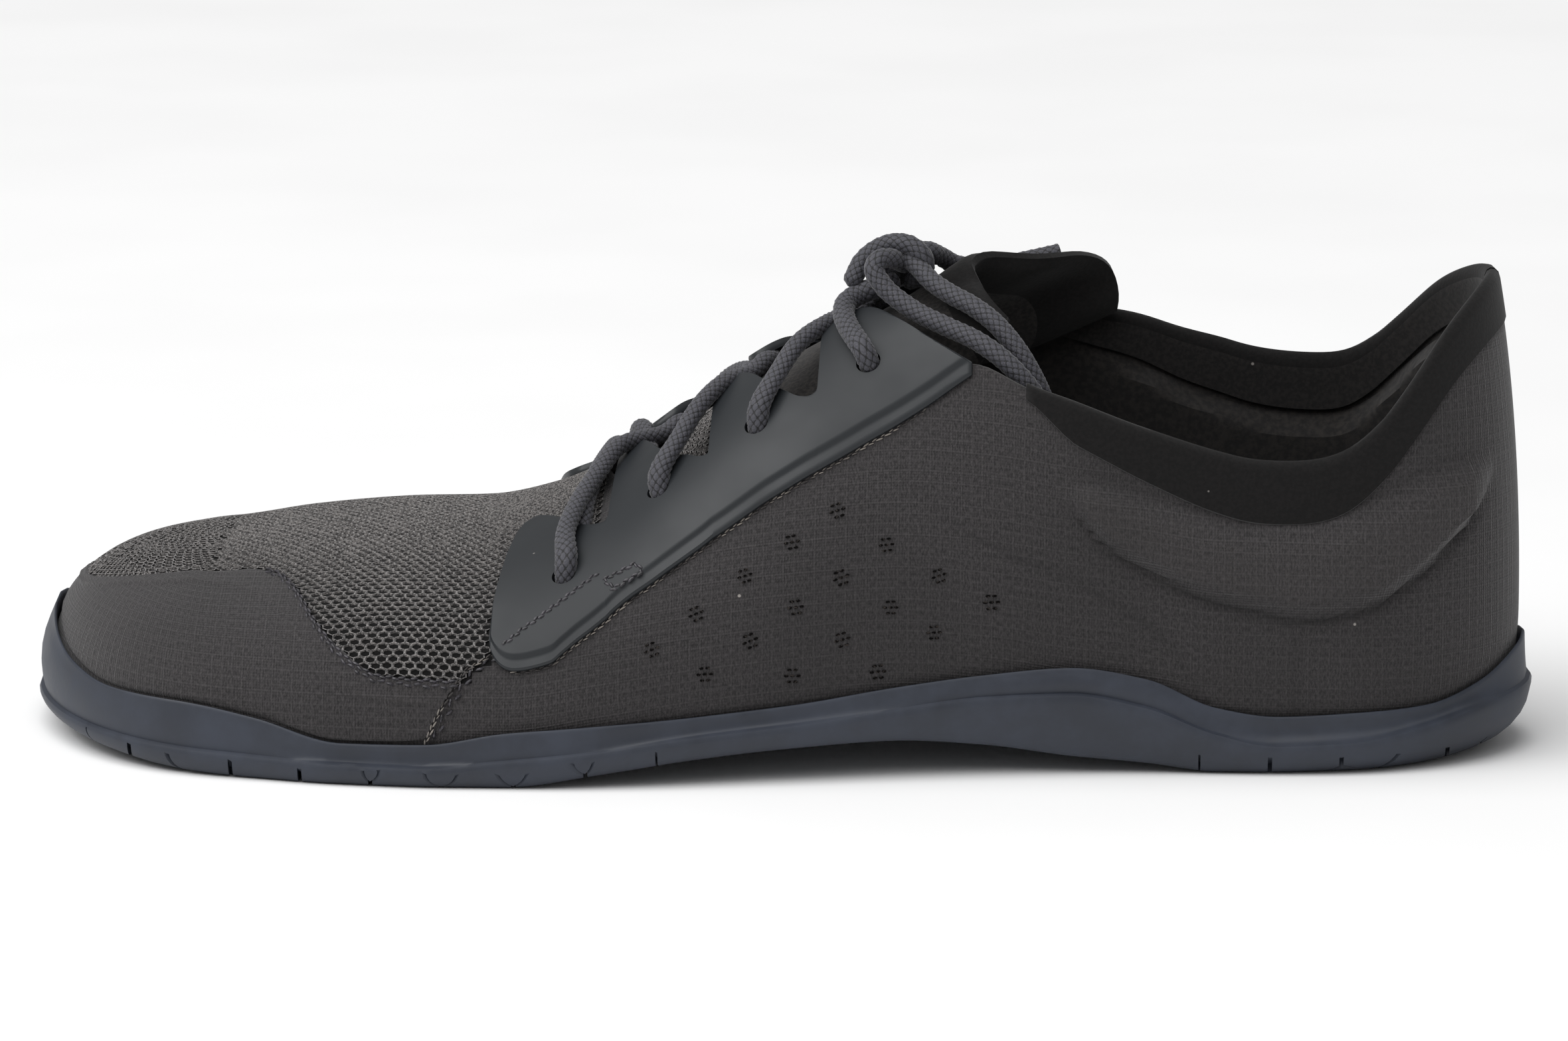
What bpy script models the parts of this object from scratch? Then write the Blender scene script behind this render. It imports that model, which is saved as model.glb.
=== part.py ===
"""Barefoot shoe, left foot: a cup sole, a hollow upper, its overlays, tongue, insole and lacing.

Metres, +Z up. The toe points along -X, the outer (lateral) side faces -Y, the sole stands on z = 0.
Every curved piece is worked out from one function of the last: shoe_point(side, u, t, lift).
"""
import math

import bmesh
import bpy
import numpy as np
from mathutils import Matrix, Vector

# Driving sizes
LENGTH = 0.288            # toe rubber to heel rubber
BALL_WIDTH = 0.104        # widest outline, at the ball
INSTEP_HEIGHT = 0.094     # top of the instep line, where the tongue ends
WALL = 0.0018             # upper: cloth, foam and lining together
GAP = 0.0003              # between pieces that touch
SEAT = 0.00070            # between an overlay and the wall that it is bonded to
FIT = 0.0008              # between the upper's lining and what lies against it
FLOOR = 0.0045            # sole: ground to footbed
INSOLE = 0.0030
TONGUE = 0.0030
SIDE_WALL = 0.0026        # rubber wall at its foot
LIP = 0.0013              # rubber wall at its upper edge
STEP = 0.0006             # ledge along the side of the sole
LUG_DEPTH = 0.0016
LUG_PITCH = 0.0180        # hexagonal lugs, across flats with one groove
LUG_GROOVE = 0.0011
OVERLAY = 0.0011          # eyestays
TRIM = 0.0006             # toe cap and collar band
PAD = 0.0022              # heel pads, at their fullest
LACE = 0.0043             # round braid
EYELET = 0.0048           # lace holes
MEDIAL_SHIFT = 0.018      # share of LENGTH by which the inner eyestay lies further back
TIP_SHIFT = 0.010         # the toe's foremost point lies on the big toe side
TOE_POLE = 0.125          # shares of LENGTH: the fans of columns at both ends
HEEL_POLE = 0.900
TOE_CAP_REACH = 0.16      # share of LENGTH over which the toe's outline rounds in
HEEL_CAP_REACH = 0.13
TOE_FULLNESS = 2.3        # exponent of the toe's and heel's rounding: 2 is an ellipse
HEEL_FULLNESS = 2.2
LATERAL, MEDIAL = -1, 1

# Outline of the sole: station, lateral and medial half widths as shares of BALL_WIDTH,
# both before the ends are rounded in
OUTLINE = (
    (0.00, 0.375, 0.405),
    (0.07, 0.410, 0.443),
    (0.15, 0.440, 0.461),
    (0.22, 0.482, 0.487),
    (0.29, 0.499, 0.500),
    (0.35, 0.499, 0.492),
    (0.41, 0.484, 0.457),
    (0.50, 0.437, 0.388),
    (0.59, 0.388, 0.330),
    (0.67, 0.356, 0.308),
    (0.76, 0.333, 0.311),
    (0.85, 0.321, 0.318),
    (0.92, 0.300, 0.303),
    (1.00, 0.284, 0.284),
)

# Side of the sole: station, heights of the underside, the ledge and the upper edge, and the
# inward roll of the edge underneath, all as shares of LENGTH
SOLE_SIDE = (
    (0.000, 0.0110, 0.0265, 0.0850, 0.026),
    (0.030, 0.0080, 0.0235, 0.0600, 0.022),
    (0.065, 0.0055, 0.0215, 0.0480, 0.018),
    (0.120, 0.0015, 0.0190, 0.0460, 0.013),
    (0.170, 0.0000, 0.0170, 0.0385, 0.011),
    (0.225, 0.0000, 0.0150, 0.0295, 0.010),
    (0.280, 0.0000, 0.0145, 0.0305, 0.010),
    (0.330, 0.0000, 0.0195, 0.0375, 0.010),
    (0.390, 0.0080, 0.0255, 0.0425, 0.010),
    (0.450, 0.0165, 0.0345, 0.0480, 0.010),
    (0.520, 0.0225, 0.0425, 0.0550, 0.010),
    (0.580, 0.0250, 0.0495, 0.0640, 0.010),
    (0.640, 0.0205, 0.0565, 0.0705, 0.011),
    (0.695, 0.0120, 0.0575, 0.0735, 0.012),
    (0.745, 0.0065, 0.0480, 0.0650, 0.013),
    (0.790, 0.0005, 0.0295, 0.0430, 0.014),
    (0.830, 0.0000, 0.0215, 0.0370, 0.016),
    (0.880, 0.0000, 0.0235, 0.0390, 0.022),
    (0.930, 0.0000, 0.0340, 0.0460, 0.030),
    (0.970, 0.0010, 0.0440, 0.0590, 0.037),
    (1.000, 0.0020, 0.0480, 0.0800, 0.042),
)

# The last above the sole: station, ridge height as a share of INSTEP_HEIGHT, ridge offset to the
# big toe side as a share of BALL_WIDTH, squareness of the lateral and medial half arches,
# belly height above the footbed and inward roll below it, both as shares of LENGTH
LAST = (
    (0.000, 0.380, 0.120, 2.30, 2.30, 0.014, 0.0120),
    (0.060, 0.372, 0.135, 2.30, 2.40, 0.018, 0.0110),
    (0.125, 0.378, 0.150, 2.40, 2.80, 0.022, 0.0100),
    (0.180, 0.400, 0.160, 2.45, 3.00, 0.022, 0.0090),
    (0.240, 0.418, 0.160, 2.35, 2.90, 0.020, 0.0080),
    (0.300, 0.428, 0.150, 2.25, 2.70, 0.020, 0.0080),
    (0.345, 0.465, 0.125, 2.15, 2.45, 0.022, 0.0080),
    (0.390, 0.535, 0.095, 2.05, 2.25, 0.025, 0.0080),
    (0.435, 0.640, 0.060, 2.00, 2.10, 0.028, 0.0080),
    (0.490, 0.765, 0.030, 1.95, 2.05, 0.032, 0.0085),
    (0.560, 0.888, 0.010, 1.95, 2.05, 0.036, 0.0090),
    (0.630, 0.995, 0.000, 2.05, 2.10, 0.040, 0.0100),
    (0.700, 1.150, 0.000, 2.15, 2.15, 0.045, 0.0110),
    (0.800, 1.370, 0.000, 2.20, 2.20, 0.050, 0.0130),
    (0.900, 1.400, 0.000, 2.10, 2.10, 0.060, 0.0190),
    (1.000, 1.400, 0.000, 2.00, 2.00, 0.070, 0.0240),
)

# Edge of the throat and collar: station, how far up the lateral and medial half arches it lies
OPENING = (
    (0.385, 1.000, 1.000),
    (0.388, 0.992, 0.992),
    (0.396, 0.950, 0.955),
    (0.410, 0.890, 0.905),
    (0.440, 0.840, 0.870),
    (0.500, 0.825, 0.855),
    (0.560, 0.835, 0.858),
    (0.590, 0.838, 0.860),
    (0.630, 0.790, 0.836),
    (0.672, 0.667, 0.760),
    (0.704, 0.595, 0.695),
    (0.736, 0.520, 0.630),
    (0.764, 0.470, 0.568),
    (0.788, 0.440, 0.538),
    (0.810, 0.422, 0.515),
    (0.850, 0.415, 0.498),
    (0.875, 0.428, 0.496),
    (0.900, 0.480, 0.535),
    (0.925, 0.540, 0.580),
    (0.950, 0.600, 0.625),
    (1.000, 0.672, 0.672),
)

# Eyestay: station, lower and scalloped upper edge as column parameters
EYESTAY = (
    (0.320, 0.450, 0.500),
    (0.323, 0.415, 0.580),
    (0.328, 0.380, 0.690),
    (0.334, 0.355, 0.785),
    (0.344, 0.337, 0.835),
    (0.360, 0.340, 0.800),
    (0.371, 0.362, 0.760),
    (0.386, 0.392, 0.715),
    (0.393, 0.405, 0.850),
    (0.402, 0.421, 0.905),
    (0.413, 0.437, 0.915),
    (0.426, 0.450, 0.885),
    (0.446, 0.469, 0.770),
    (0.455, 0.476, 0.730),
    (0.460, 0.480, 0.845),
    (0.468, 0.488, 0.905),
    (0.482, 0.500, 0.915),
    (0.494, 0.510, 0.870),
    (0.508, 0.520, 0.790),
    (0.520, 0.528, 0.725),
    (0.530, 0.533, 0.790),
    (0.537, 0.537, 0.880),
    (0.548, 0.543, 0.910),
    (0.563, 0.550, 0.880),
    (0.588, 0.566, 0.760),
    (0.606, 0.580, 0.685),
    (0.624, 0.588, 0.625),
)

# Lace holes: station and column parameter
EYELETS = ((0.365, 0.583), (0.4235, 0.735), (0.488, 0.745), (0.561, 0.725))

# Toe cap: station, and the column parameter of its edge on the lateral and medial sides
TOE_CAP = (
    (0.000, 0.560, 0.560),
    (0.025, 0.625, 0.610),
    (0.070, 0.690, 0.670),
    (0.118, 0.735, 0.720),
    (0.150, 0.735, 0.720),
    (0.173, 0.700, 0.690),
    (0.188, 0.625, 0.620),
    (0.200, 0.530, 0.540),
    (0.215, 0.435, 0.450),
    (0.232, 0.365, 0.380),
    (0.250, 0.328, 0.340),
    (0.300, 0.318, 0.325),
)

# Heel pads: station, lower and upper edge as column parameters
HEEL_PAD = (
    (0.690, 0.352, 0.362),
    (0.705, 0.312, 0.360),
    (0.720, 0.288, 0.352),
    (0.745, 0.256, 0.320),
    (0.775, 0.233, 0.300),
    (0.812, 0.220, 0.291),
    (0.850, 0.218, 0.293),
    (0.885, 0.227, 0.305),
    (0.915, 0.244, 0.328),
    (0.940, 0.266, 0.343),
    (0.960, 0.294, 0.352),
    (0.970, 0.335, 0.350),
)

# Tongue: share along it, lateral and medial half widths as arch parameters, station of the cross
# line in its middle, at its lateral and at its medial border
TONGUE_ROWS = (
    (0.00, 0.16, 0.16, 0.372, 0.376, 0.376),
    (0.10, 0.24, 0.24, 0.395, 0.398, 0.398),
    (0.30, 0.34, 0.34, 0.445, 0.447, 0.448),
    (0.50, 0.38, 0.38, 0.497, 0.498, 0.502),
    (0.70, 0.39, 0.41, 0.548, 0.556, 0.568),
    (0.85, 0.37, 0.43, 0.592, 0.616, 0.640),
    (0.95, 0.30, 0.44, 0.622, 0.640, 0.696),
    (1.00, 0.23, 0.42, 0.634, 0.642, 0.722),
)

# Knot over the tongue, and the routes of the two loops tucked in at the outer side and of the
# one that lies on the tongue towards the inner side, in metres
KNOT = (0.0215, -0.002, 0.0925)
KNOT_HALF = (0.0070, 0.0072, 0.0050)
KNOT_PITCH = math.radians(32)
LOOPS = (
    ((0.0255, -0.0120, 0.0925), (0.0310, -0.0170, 0.0895), (0.0370, -0.0210, 0.0845),
     (0.0430, -0.0225, 0.0790), (0.0490, -0.0225, 0.0720), (0.0520, -0.0220, 0.0640)),
    ((0.0280, -0.0070, 0.0955), (0.0335, -0.0110, 0.0930), (0.0400, -0.0150, 0.0875),
     (0.0460, -0.0175, 0.0800), (0.0510, -0.0185, 0.0720), (0.0545, -0.0180, 0.0635)),
    ((0.0280, 0.0045, 0.0928), (0.0305, 0.0085, 0.0910), (0.0333, 0.0112, 0.0890),
     (0.0372, 0.0132, 0.0882), (0.0420, 0.0149, 0.0883), (0.0475, 0.0164, 0.0892),
     (0.0530, 0.0176, 0.0903)),
)


def monotone(rows, column):
    """A smooth curve through one column of a table that never overshoots its rows."""
    xs = np.array([row[0] for row in rows], float)
    ys = np.array([row[column] for row in rows], float)
    h = np.diff(xs)
    slope = np.diff(ys) / h
    tangent = np.zeros_like(ys)
    for k in range(1, len(xs) - 1):
        if slope[k - 1] * slope[k] > 0:
            a, b = 2 * h[k] + h[k - 1], h[k] + 2 * h[k - 1]
            tangent[k] = (a + b) / (a / slope[k - 1] + b / slope[k])
    tangent[0], tangent[-1] = slope[0], slope[-1]

    def value(x):
        x = min(max(x, xs[0]), xs[-1])
        k = min(int(np.searchsorted(xs, x, side="right")) - 1, len(xs) - 2)
        f = (x - xs[k]) / h[k]
        left, right = (1 + 2 * f) * (1 - f) ** 2, f * f * (3 - 2 * f)
        return float(left * ys[k] + right * ys[k + 1] + h[k] * f * (1 - f)
                     * ((1 - f) * tangent[k] - f * tangent[k + 1]))
    return value


HALF_WIDTH = {LATERAL: monotone(OUTLINE, 1), MEDIAL: monotone(OUTLINE, 2)}
UNDERSIDE, LEDGE, RIM, ROLL = (monotone(SOLE_SIDE, c) for c in range(1, 5))
RIDGE, RIDGE_SIDE = monotone(LAST, 1), monotone(LAST, 2)
SQUARE = {LATERAL: monotone(LAST, 3), MEDIAL: monotone(LAST, 4)}
BELLY, TUCK = monotone(LAST, 5), monotone(LAST, 6)
EDGE = {LATERAL: monotone(OPENING, 1), MEDIAL: monotone(OPENING, 2)}
THROAT_FRONT = OPENING[0][0]
TONGUE_HALF = {LATERAL: monotone(TONGUE_ROWS, 1), MEDIAL: monotone(TONGUE_ROWS, 2)}
TONGUE_MID = monotone(TONGUE_ROWS, 3)
TONGUE_BORDER = {LATERAL: monotone(TONGUE_ROWS, 4), MEDIAL: monotone(TONGUE_ROWS, 5)}
BELLY_SHARE = 0.18        # share of a column's parameter spent below its belly
ROW_SHARES = (0.0, 0.13, 0.29, 0.46, 0.64, 0.82, 1.0)
SHARED_ROWS = 7
LUG_FIELDS = ((0.06, 0.39), (0.80, 0.975))
BAND_FRONT = 0.668
BAND_WIDTH = 0.040        # collar band, as a share of a column's parameter
BAND_FREE = 0.002
TONGUE_ROOM = 0.010       # how far the tongue's outer wing stands off the lining, for the lace
LACE_LIFT = SEAT + OVERLAY + GAP + 0.5 * LACE
LACE_REST = GAP + 0.5 * LACE - WALL - FIT
# Strands of each crossing: arch parameters between which they come down onto the tongue, the one
# at which they end short of the far scallop, and their number of points
STRANDS = (
    (0.930, 1.000, 0.965, 9),
    (0.860, 0.970, 0.935, 6),
    (0.860, 0.970, 0.935, 6),
)
DIVE_AHEAD = 0.018        # share of LENGTH ahead of the next hole, where it does so
TAIL_END = (0.585, 0.845) # station and arch parameter at which a top strand meets the knot


def station_x(u):
    return (u - 0.5) * LENGTH


def rounding(u):
    """How far the outline has opened from its end point, 0 to 1."""
    toe = 1 - (1 - min(u / TOE_CAP_REACH, 1.0)) ** TOE_FULLNESS
    heel = 1 - (1 - min((1 - u) / HEEL_CAP_REACH, 1.0)) ** HEEL_FULLNESS
    return math.sqrt(max(0.0, min(toe, heel)))


def outline(side, u):
    """Plan point of the sole's widest line."""
    tip = TIP_SHIFT if u < 0.5 else 0.0
    full = side * HALF_WIDTH[side](u) * BALL_WIDTH
    return Vector((station_x(u), tip + (full - tip) * rounding(u)))


def gathered(u):
    """The station of a column's inner end: both ends of the shoe gather at a pole."""
    return min(max(u, TOE_POLE), HEEL_POLE)


def crown(u):
    """The last's ridge above station u."""
    c = gathered(u)
    return Vector((station_x(c), RIDGE_SIDE(c) * BALL_WIDTH, RIDGE(c) * INSTEP_HEIGHT))


def inward(side, u):
    """Plan direction from the outline to the crown."""
    top = crown(u)
    way = Vector((top.x, top.y)) - outline(side, u)
    return way.normalized()


def footbed(u):
    return UNDERSIDE(u) * LENGTH + FLOOR


def bare_point(side, u, t):
    """A point of the upper's outer face: t runs from the footbed (0) to the ridge (1)."""
    low = footbed(u) + GAP
    top = crown(u)
    foot = outline(side, u) + inward(side, u) * (SIDE_WALL + GAP)
    belly = low + BELLY(u) * LENGTH
    if t < BELLY_SHARE:
        a = 0.5 * math.pi * t / BELLY_SHARE
        back = TUCK(u) * LENGTH * (1 - math.sin(a))
        plan = foot + inward(side, u) * back
        return Vector((plan.x, plan.y, belly - (belly - low) * math.cos(a)))
    a = 0.5 * math.pi * (t - BELLY_SHARE) / (1 - BELLY_SHARE)
    power = 2 / SQUARE[side](u)
    over = max(0.0, math.cos(a)) ** power
    plan = Vector((top.x, top.y)) * (1 - over) + foot * over
    return Vector((plan.x, plan.y, belly + (top.z - belly) * math.sin(a) ** power))


def outward(side, u, t):
    """Unit normal of the upper's outer face."""
    e = 0.002
    if t > 1 - e and not TOE_POLE < u < HEEL_POLE:
        return Vector((0, 0, 1))
    t = min(t, 1 - e)
    u = min(max(u, e), 1 - e)
    across = bare_point(side, u, min(t + e, 1)) - bare_point(side, u, max(t - e, 0))
    along = bare_point(side, u + e, t) - bare_point(side, u - e, t)
    return (along.cross(across) * -side).normalized()


def shoe_point(side, u, t, lift=0.0):
    """A point lift metres outside the upper's outer face."""
    return bare_point(side, u, t) + outward(side, u, t) * lift


def height_to_t(side, u, z):
    """The parameter at which a column reaches height z."""
    low, high = 0.0, 1.0
    for _ in range(30):
        mid = 0.5 * (low + high)
        if bare_point(side, u, mid).z < z:
            low = mid
        else:
            high = mid
    return 0.5 * (low + high)


def edge_t(side, u):
    """The parameter of the throat's or collar's edge, or of the ridge in front of the throat."""
    share = EDGE[side](u)
    if u <= THROAT_FRONT or share >= 1.0:
        return 1.0
    low = footbed(u) + GAP
    return height_to_t(side, u, low + share * (crown(u).z - low))


def levels(side, u):
    """Rows of the upper's wall, which the sole's inner face shares as far as its rim."""
    low = [BELLY_SHARE * k / 3 for k in range(3)]
    rise = edge_t(side, u) - BELLY_SHARE
    return low + [BELLY_SHARE + rise * share for share in ROW_SHARES]


def stations():
    """Column stations, close together where the outline turns and where the throat begins."""
    toe = [TOE_CAP_REACH * (1 - math.cos(0.5 * math.pi * k / 9)) for k in range(9)]
    heel = [1 - HEEL_CAP_REACH * (1 - math.cos(0.5 * math.pi * k / 8)) for k in range(8)]
    middle = list(np.linspace(TOE_CAP_REACH, 1 - HEEL_CAP_REACH, 20))
    throat = [THROAT_FRONT + d for d in (0.0, 0.003, 0.010)]
    middle = [m for m in middle if min(abs(m - x) for x in throat) > 0.006]
    return sorted(toe + middle + throat + heel)


STATIONS = stations()
AROUND = [(LATERAL, u) for u in STATIONS] + [(MEDIAL, u) for u in reversed(STATIONS[1:-1])]


def material(name, colour, roughness, metallic=0.0):
    mat = bpy.data.materials.new(name)
    mat.use_nodes = True
    shader = mat.node_tree.nodes["Principled BSDF"]
    shader.inputs["Base Color"].default_value = (*colour, 1.0)
    shader.inputs["Roughness"].default_value = roughness
    shader.inputs["Metallic"].default_value = metallic
    return mat


def add_object(name, mesh, mat, collection):
    obj = bpy.data.objects.new(name, mesh)
    obj.data.materials.append(mat)
    collection.objects.link(obj)
    return obj


def round_mesh(name, columns):
    """Skin sections that follow each other all the way round and meet along the middle line."""
    return sheet_mesh(name, columns + columns[:1])


def sheet_mesh(name, rows):
    """Skin an open grid of points."""
    bm = bmesh.new()
    grid = [[bm.verts.new(p) for p in row] for row in rows]
    for a, b in zip(grid, grid[1:]):
        for j in range(len(a) - 1):
            bm.faces.new((a[j], b[j], b[j + 1], a[j + 1]))
    return finish_mesh(name, bm)


def finish_mesh(name, bm):
    bmesh.ops.remove_doubles(bm, verts=bm.verts, dist=1e-6)
    bmesh.ops.recalc_face_normals(bm, faces=bm.faces)
    mesh = bpy.data.meshes.new(name)
    bm.to_mesh(mesh)
    bm.free()
    return mesh


def sole_column(side, u):
    """One closed section of the cup sole, from the middle of its underside round to its floor."""
    way = inward(side, u)
    edge = outline(side, u)
    top = crown(u)
    under, ledge, rim = UNDERSIDE(u) * LENGTH, LEDGE(u) * LENGTH, RIM(u) * LENGTH
    roll = ROLL(u) * LENGTH

    def at(inset, z):
        plan = edge + way * inset
        return Vector((plan.x, plan.y, z))

    points = [Vector((top.x, top.y, UNDERSIDE(gathered(u)) * LENGTH)), at(roll, under)]
    for degrees in (30, 60):
        a = math.radians(degrees)
        points.append(at(roll * (1 - math.sin(a)), ledge - (ledge - under) * math.cos(a)))
    points.append(at(0.0, ledge - STEP))
    points.append(at(STEP, ledge))
    rim_t = height_to_t(side, u, rim)
    low_t = height_to_t(side, u, 0.5 * (rim + ledge))
    mid = shoe_point(side, u, low_t, GAP + 0.5 * (LIP + SIDE_WALL))
    points.append(mid)
    points.append(shoe_point(side, u, rim_t, GAP + LIP))
    points.append(shoe_point(side, u, rim_t, GAP + 0.5 * LIP) + Vector((0, 0, 0.4 * LIP)))
    points.append(shoe_point(side, u, rim_t, GAP))
    for t in reversed(levels(side, u)[:SHARED_ROWS]):
        points.append(shoe_point(side, u, min(t, rim_t), GAP))
    points.append(Vector((top.x, top.y, footbed(gathered(u)))))
    return points


def groove_net(name):
    """The grooves between hexagonal lugs, as one net under the forefoot and one under the heel."""
    bm = bmesh.new()
    outer = LUG_PITCH / math.sqrt(3)
    inner = (LUG_PITCH - LUG_GROOVE) / math.sqrt(3)
    row_step = 1.5 * outer
    rows = int(BALL_WIDTH / row_step / 2) + 1
    columns = int(LENGTH / LUG_PITCH / 2) + 1
    for row in range(-rows, rows + 1):
        for column in range(-columns, columns + 1):
            x = (column + 0.5 * (row % 2)) * LUG_PITCH
            y = row * row_step
            if under_foot(x, y):
                add_ring(bm, x, y, outer, inner)
    bmesh.ops.remove_doubles(bm, verts=bm.verts, dist=1e-5)
    for vert in bm.verts:
        vert.co.z = UNDERSIDE(vert.co.x / LENGTH + 0.5) * LENGTH + LUG_DEPTH
    grown = bmesh.ops.extrude_face_region(bm, geom=bm.faces[:], use_keep_orig=True)
    for item in grown["geom"]:
        if isinstance(item, bmesh.types.BMVert):
            item.co.z = -2 * LUG_DEPTH
    return finish_mesh(name, bm)


def under_foot(x, y):
    """Whether a lug is centred under the forefoot or the heel, inside the outline."""
    u = x / LENGTH + 0.5
    if not any(low < u < high for low, high in LUG_FIELDS):
        return False
    return outline(LATERAL, u).y < y < outline(MEDIAL, u).y


def add_ring(bm, x, y, outer, inner):
    corners = [math.radians(60 * k + 30) for k in range(6)]
    wide = [bm.verts.new((x + outer * math.cos(a), y + outer * math.sin(a), 0)) for a in corners]
    slim = [bm.verts.new((x + inner * math.cos(a), y + inner * math.sin(a), 0)) for a in corners]
    for k in range(6):
        n = (k + 1) % 6
        bm.faces.new((wide[k], wide[n], slim[n], slim[k]))


def make_outsole(collection):
    mesh = round_mesh("outsole", [sole_column(side, u) for side, u in AROUND])
    obj = add_object("outsole", mesh, material("rubber", (0.12, 0.13, 0.15), 0.6), collection)
    net = bpy.data.objects.new("groove_net", groove_net("groove_net"))
    collection.objects.link(net)
    set_as_cutter(net)
    cut = obj.modifiers.new("grooves", "BOOLEAN")
    cut.operation = "DIFFERENCE"
    cut.solver = "EXACT"
    cut.object = net
    return obj


def make_upper(collection):
    rows = []
    for side, u in AROUND + AROUND[:1]:
        rows.append([bare_point(side, u, t) for t in levels(side, u)])
    mesh = sheet_mesh("upper", rows)
    obj = add_object("upper", mesh, material("cloth", (0.10, 0.095, 0.09), 0.9), collection)
    wall = obj.modifiers.new("wall", "SOLIDIFY")
    wall.thickness = WALL
    wall.offset = -1.0
    return obj


def make_insole(collection):
    loops = []
    for side, u in AROUND:
        way = inward(side, u)
        edge = outline(side, u) + way * (SIDE_WALL + GAP + TUCK(u) * LENGTH + WALL + GAP)
        low, middle = footbed(u) + GAP, footbed(gathered(u)) + GAP
        top = crown(u)
        loops.append([Vector((top.x, top.y, middle)), Vector((edge.x, edge.y, low)),
                      Vector((edge.x, edge.y, low + INSOLE)),
                      Vector((top.x, top.y, middle + INSOLE))])
    mesh = round_mesh("insole", loops)
    return add_object("insole", mesh, material("foam", (0.02, 0.02, 0.02), 0.9), collection)


def arch(w):
    """Side and column parameter of an arch parameter: 0 and 2 at the footbed, 1 at the ridge."""
    return (LATERAL, w) if w <= 1 else (MEDIAL, 2 - w)


def slab_mesh(name, low, high):
    """A closed sheet between two grids of points."""
    bm = bmesh.new()
    under = [[bm.verts.new(p) for p in row] for row in low]
    over = [[bm.verts.new(p) for p in row] for row in high]
    last_row, last = len(low) - 1, len(low[0]) - 1
    for i in range(last_row):
        for j in range(last):
            bm.faces.new((under[i][j], under[i][j + 1], under[i + 1][j + 1], under[i + 1][j]))
            bm.faces.new((over[i][j], over[i + 1][j], over[i + 1][j + 1], over[i][j + 1]))
        for j in (0, last):
            bm.faces.new((under[i][j], under[i + 1][j], over[i + 1][j], over[i][j]))
    for i in (0, last_row):
        for j in range(last):
            bm.faces.new((under[i][j], under[i][j + 1], over[i][j + 1], over[i][j]))
    return finish_mesh(name, bm)


def overlay_mesh(name, cells, thickness, lift=SEAT):
    """A sheet on the upper over rows of (side, u, t), with one thickness or one for each cell."""
    low = [[shoe_point(*cell, lift) for cell in row] for row in cells]
    high = [[shoe_point(*cell, lift + thickness(i, j)) for j, cell in enumerate(row)]
            for i, row in enumerate(cells)]
    return slab_mesh(name, low, high)


def between(rows, extra):
    """The stations of a table with more of them spread between."""
    out = []
    for a, b in zip(rows, rows[1:]):
        out += [a[0] + (b[0] - a[0]) * k / extra for k in range(extra)]
    return out + [rows[-1][0]]


def shifted(side, u):
    """The inner eyestay lies a little further back than the outer one."""
    return u + (MEDIAL_SHIFT if side == MEDIAL else 0.0)


def make_eyestay(collection, name, side):
    lower, upper = monotone(EYESTAY, 1), monotone(EYESTAY, 2)
    cells = []
    for u in between(EYESTAY, 1):
        a, b = lower(u), upper(u)
        cells.append([(side, shifted(side, u), a + (b - a) * k / 4) for k in range(5)])
    mesh = overlay_mesh(name, cells, lambda i, j: OVERLAY)
    obj = add_object(name, mesh, material(name, (0.16, 0.17, 0.18), 0.55), collection)
    for k, (u, t) in enumerate(EYELETS):
        cut_eyelet(obj, side, shifted(side, u), t, f"{name}_hole_{k + 1}")
    return obj


def cut_eyelet(obj, side, u, t, name):
    bpy.ops.mesh.primitive_cylinder_add(vertices=12, radius=0.5 * EYELET, depth=0.012)
    cutter = bpy.context.active_object
    cutter.name = name
    normal = outward(side, u, t)
    cutter.rotation_mode = "QUATERNION"
    cutter.rotation_quaternion = normal.to_track_quat("Z", "Y")
    cutter.location = bare_point(side, u, t)
    set_as_cutter(cutter)
    cut = obj.modifiers.new(name, "BOOLEAN")
    cut.operation = "DIFFERENCE"
    cut.solver = "EXACT"
    cut.object = cutter


def set_as_cutter(obj):
    """Move an object to the cutters' collection."""
    for held in list(obj.users_collection):
        held.objects.unlink(obj)
    bpy.data.collections["cutters"].objects.link(obj)
    obj.hide_render = True
    obj.display_type = "WIRE"


def make_toe_cap(collection):
    edge = {LATERAL: monotone(TOE_CAP, 1), MEDIAL: monotone(TOE_CAP, 2)}
    covered = [u for u in STATIONS if u < TOE_CAP_REACH]
    covered += [u for u in between(TOE_CAP, 1) if u >= TOE_CAP_REACH]
    columns = [(LATERAL, u) for u in reversed(covered)] + [(MEDIAL, u) for u in covered[1:]]
    cells = []
    for side, u in columns:
        low = height_to_t(side, u, RIM(u) * LENGTH + 0.7 * LIP + GAP)
        high = max(edge[side](u), low + 0.03)
        cells.append([(side, u, low + (high - low) * k / 4) for k in range(5)])
    mesh = overlay_mesh("toe_cap", cells, lambda i, j: TRIM)
    return add_object("toe_cap", mesh, material("ripstop", (0.10, 0.095, 0.09), 0.8), collection)


def make_collar_band(collection):
    columns = [(side, u) for side, u in AROUND if u > BAND_FRONT]
    cells = []
    for side, u in columns:
        top = edge_t(side, u) - BAND_FREE
        cells.append([(side, u, top - BAND_WIDTH * k / 2) for k in range(3)])
    mesh = overlay_mesh("collar_band", cells, lambda i, j: TRIM)
    return add_object("collar_band", mesh, material("suede", (0.02, 0.02, 0.02), 0.95), collection)


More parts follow.
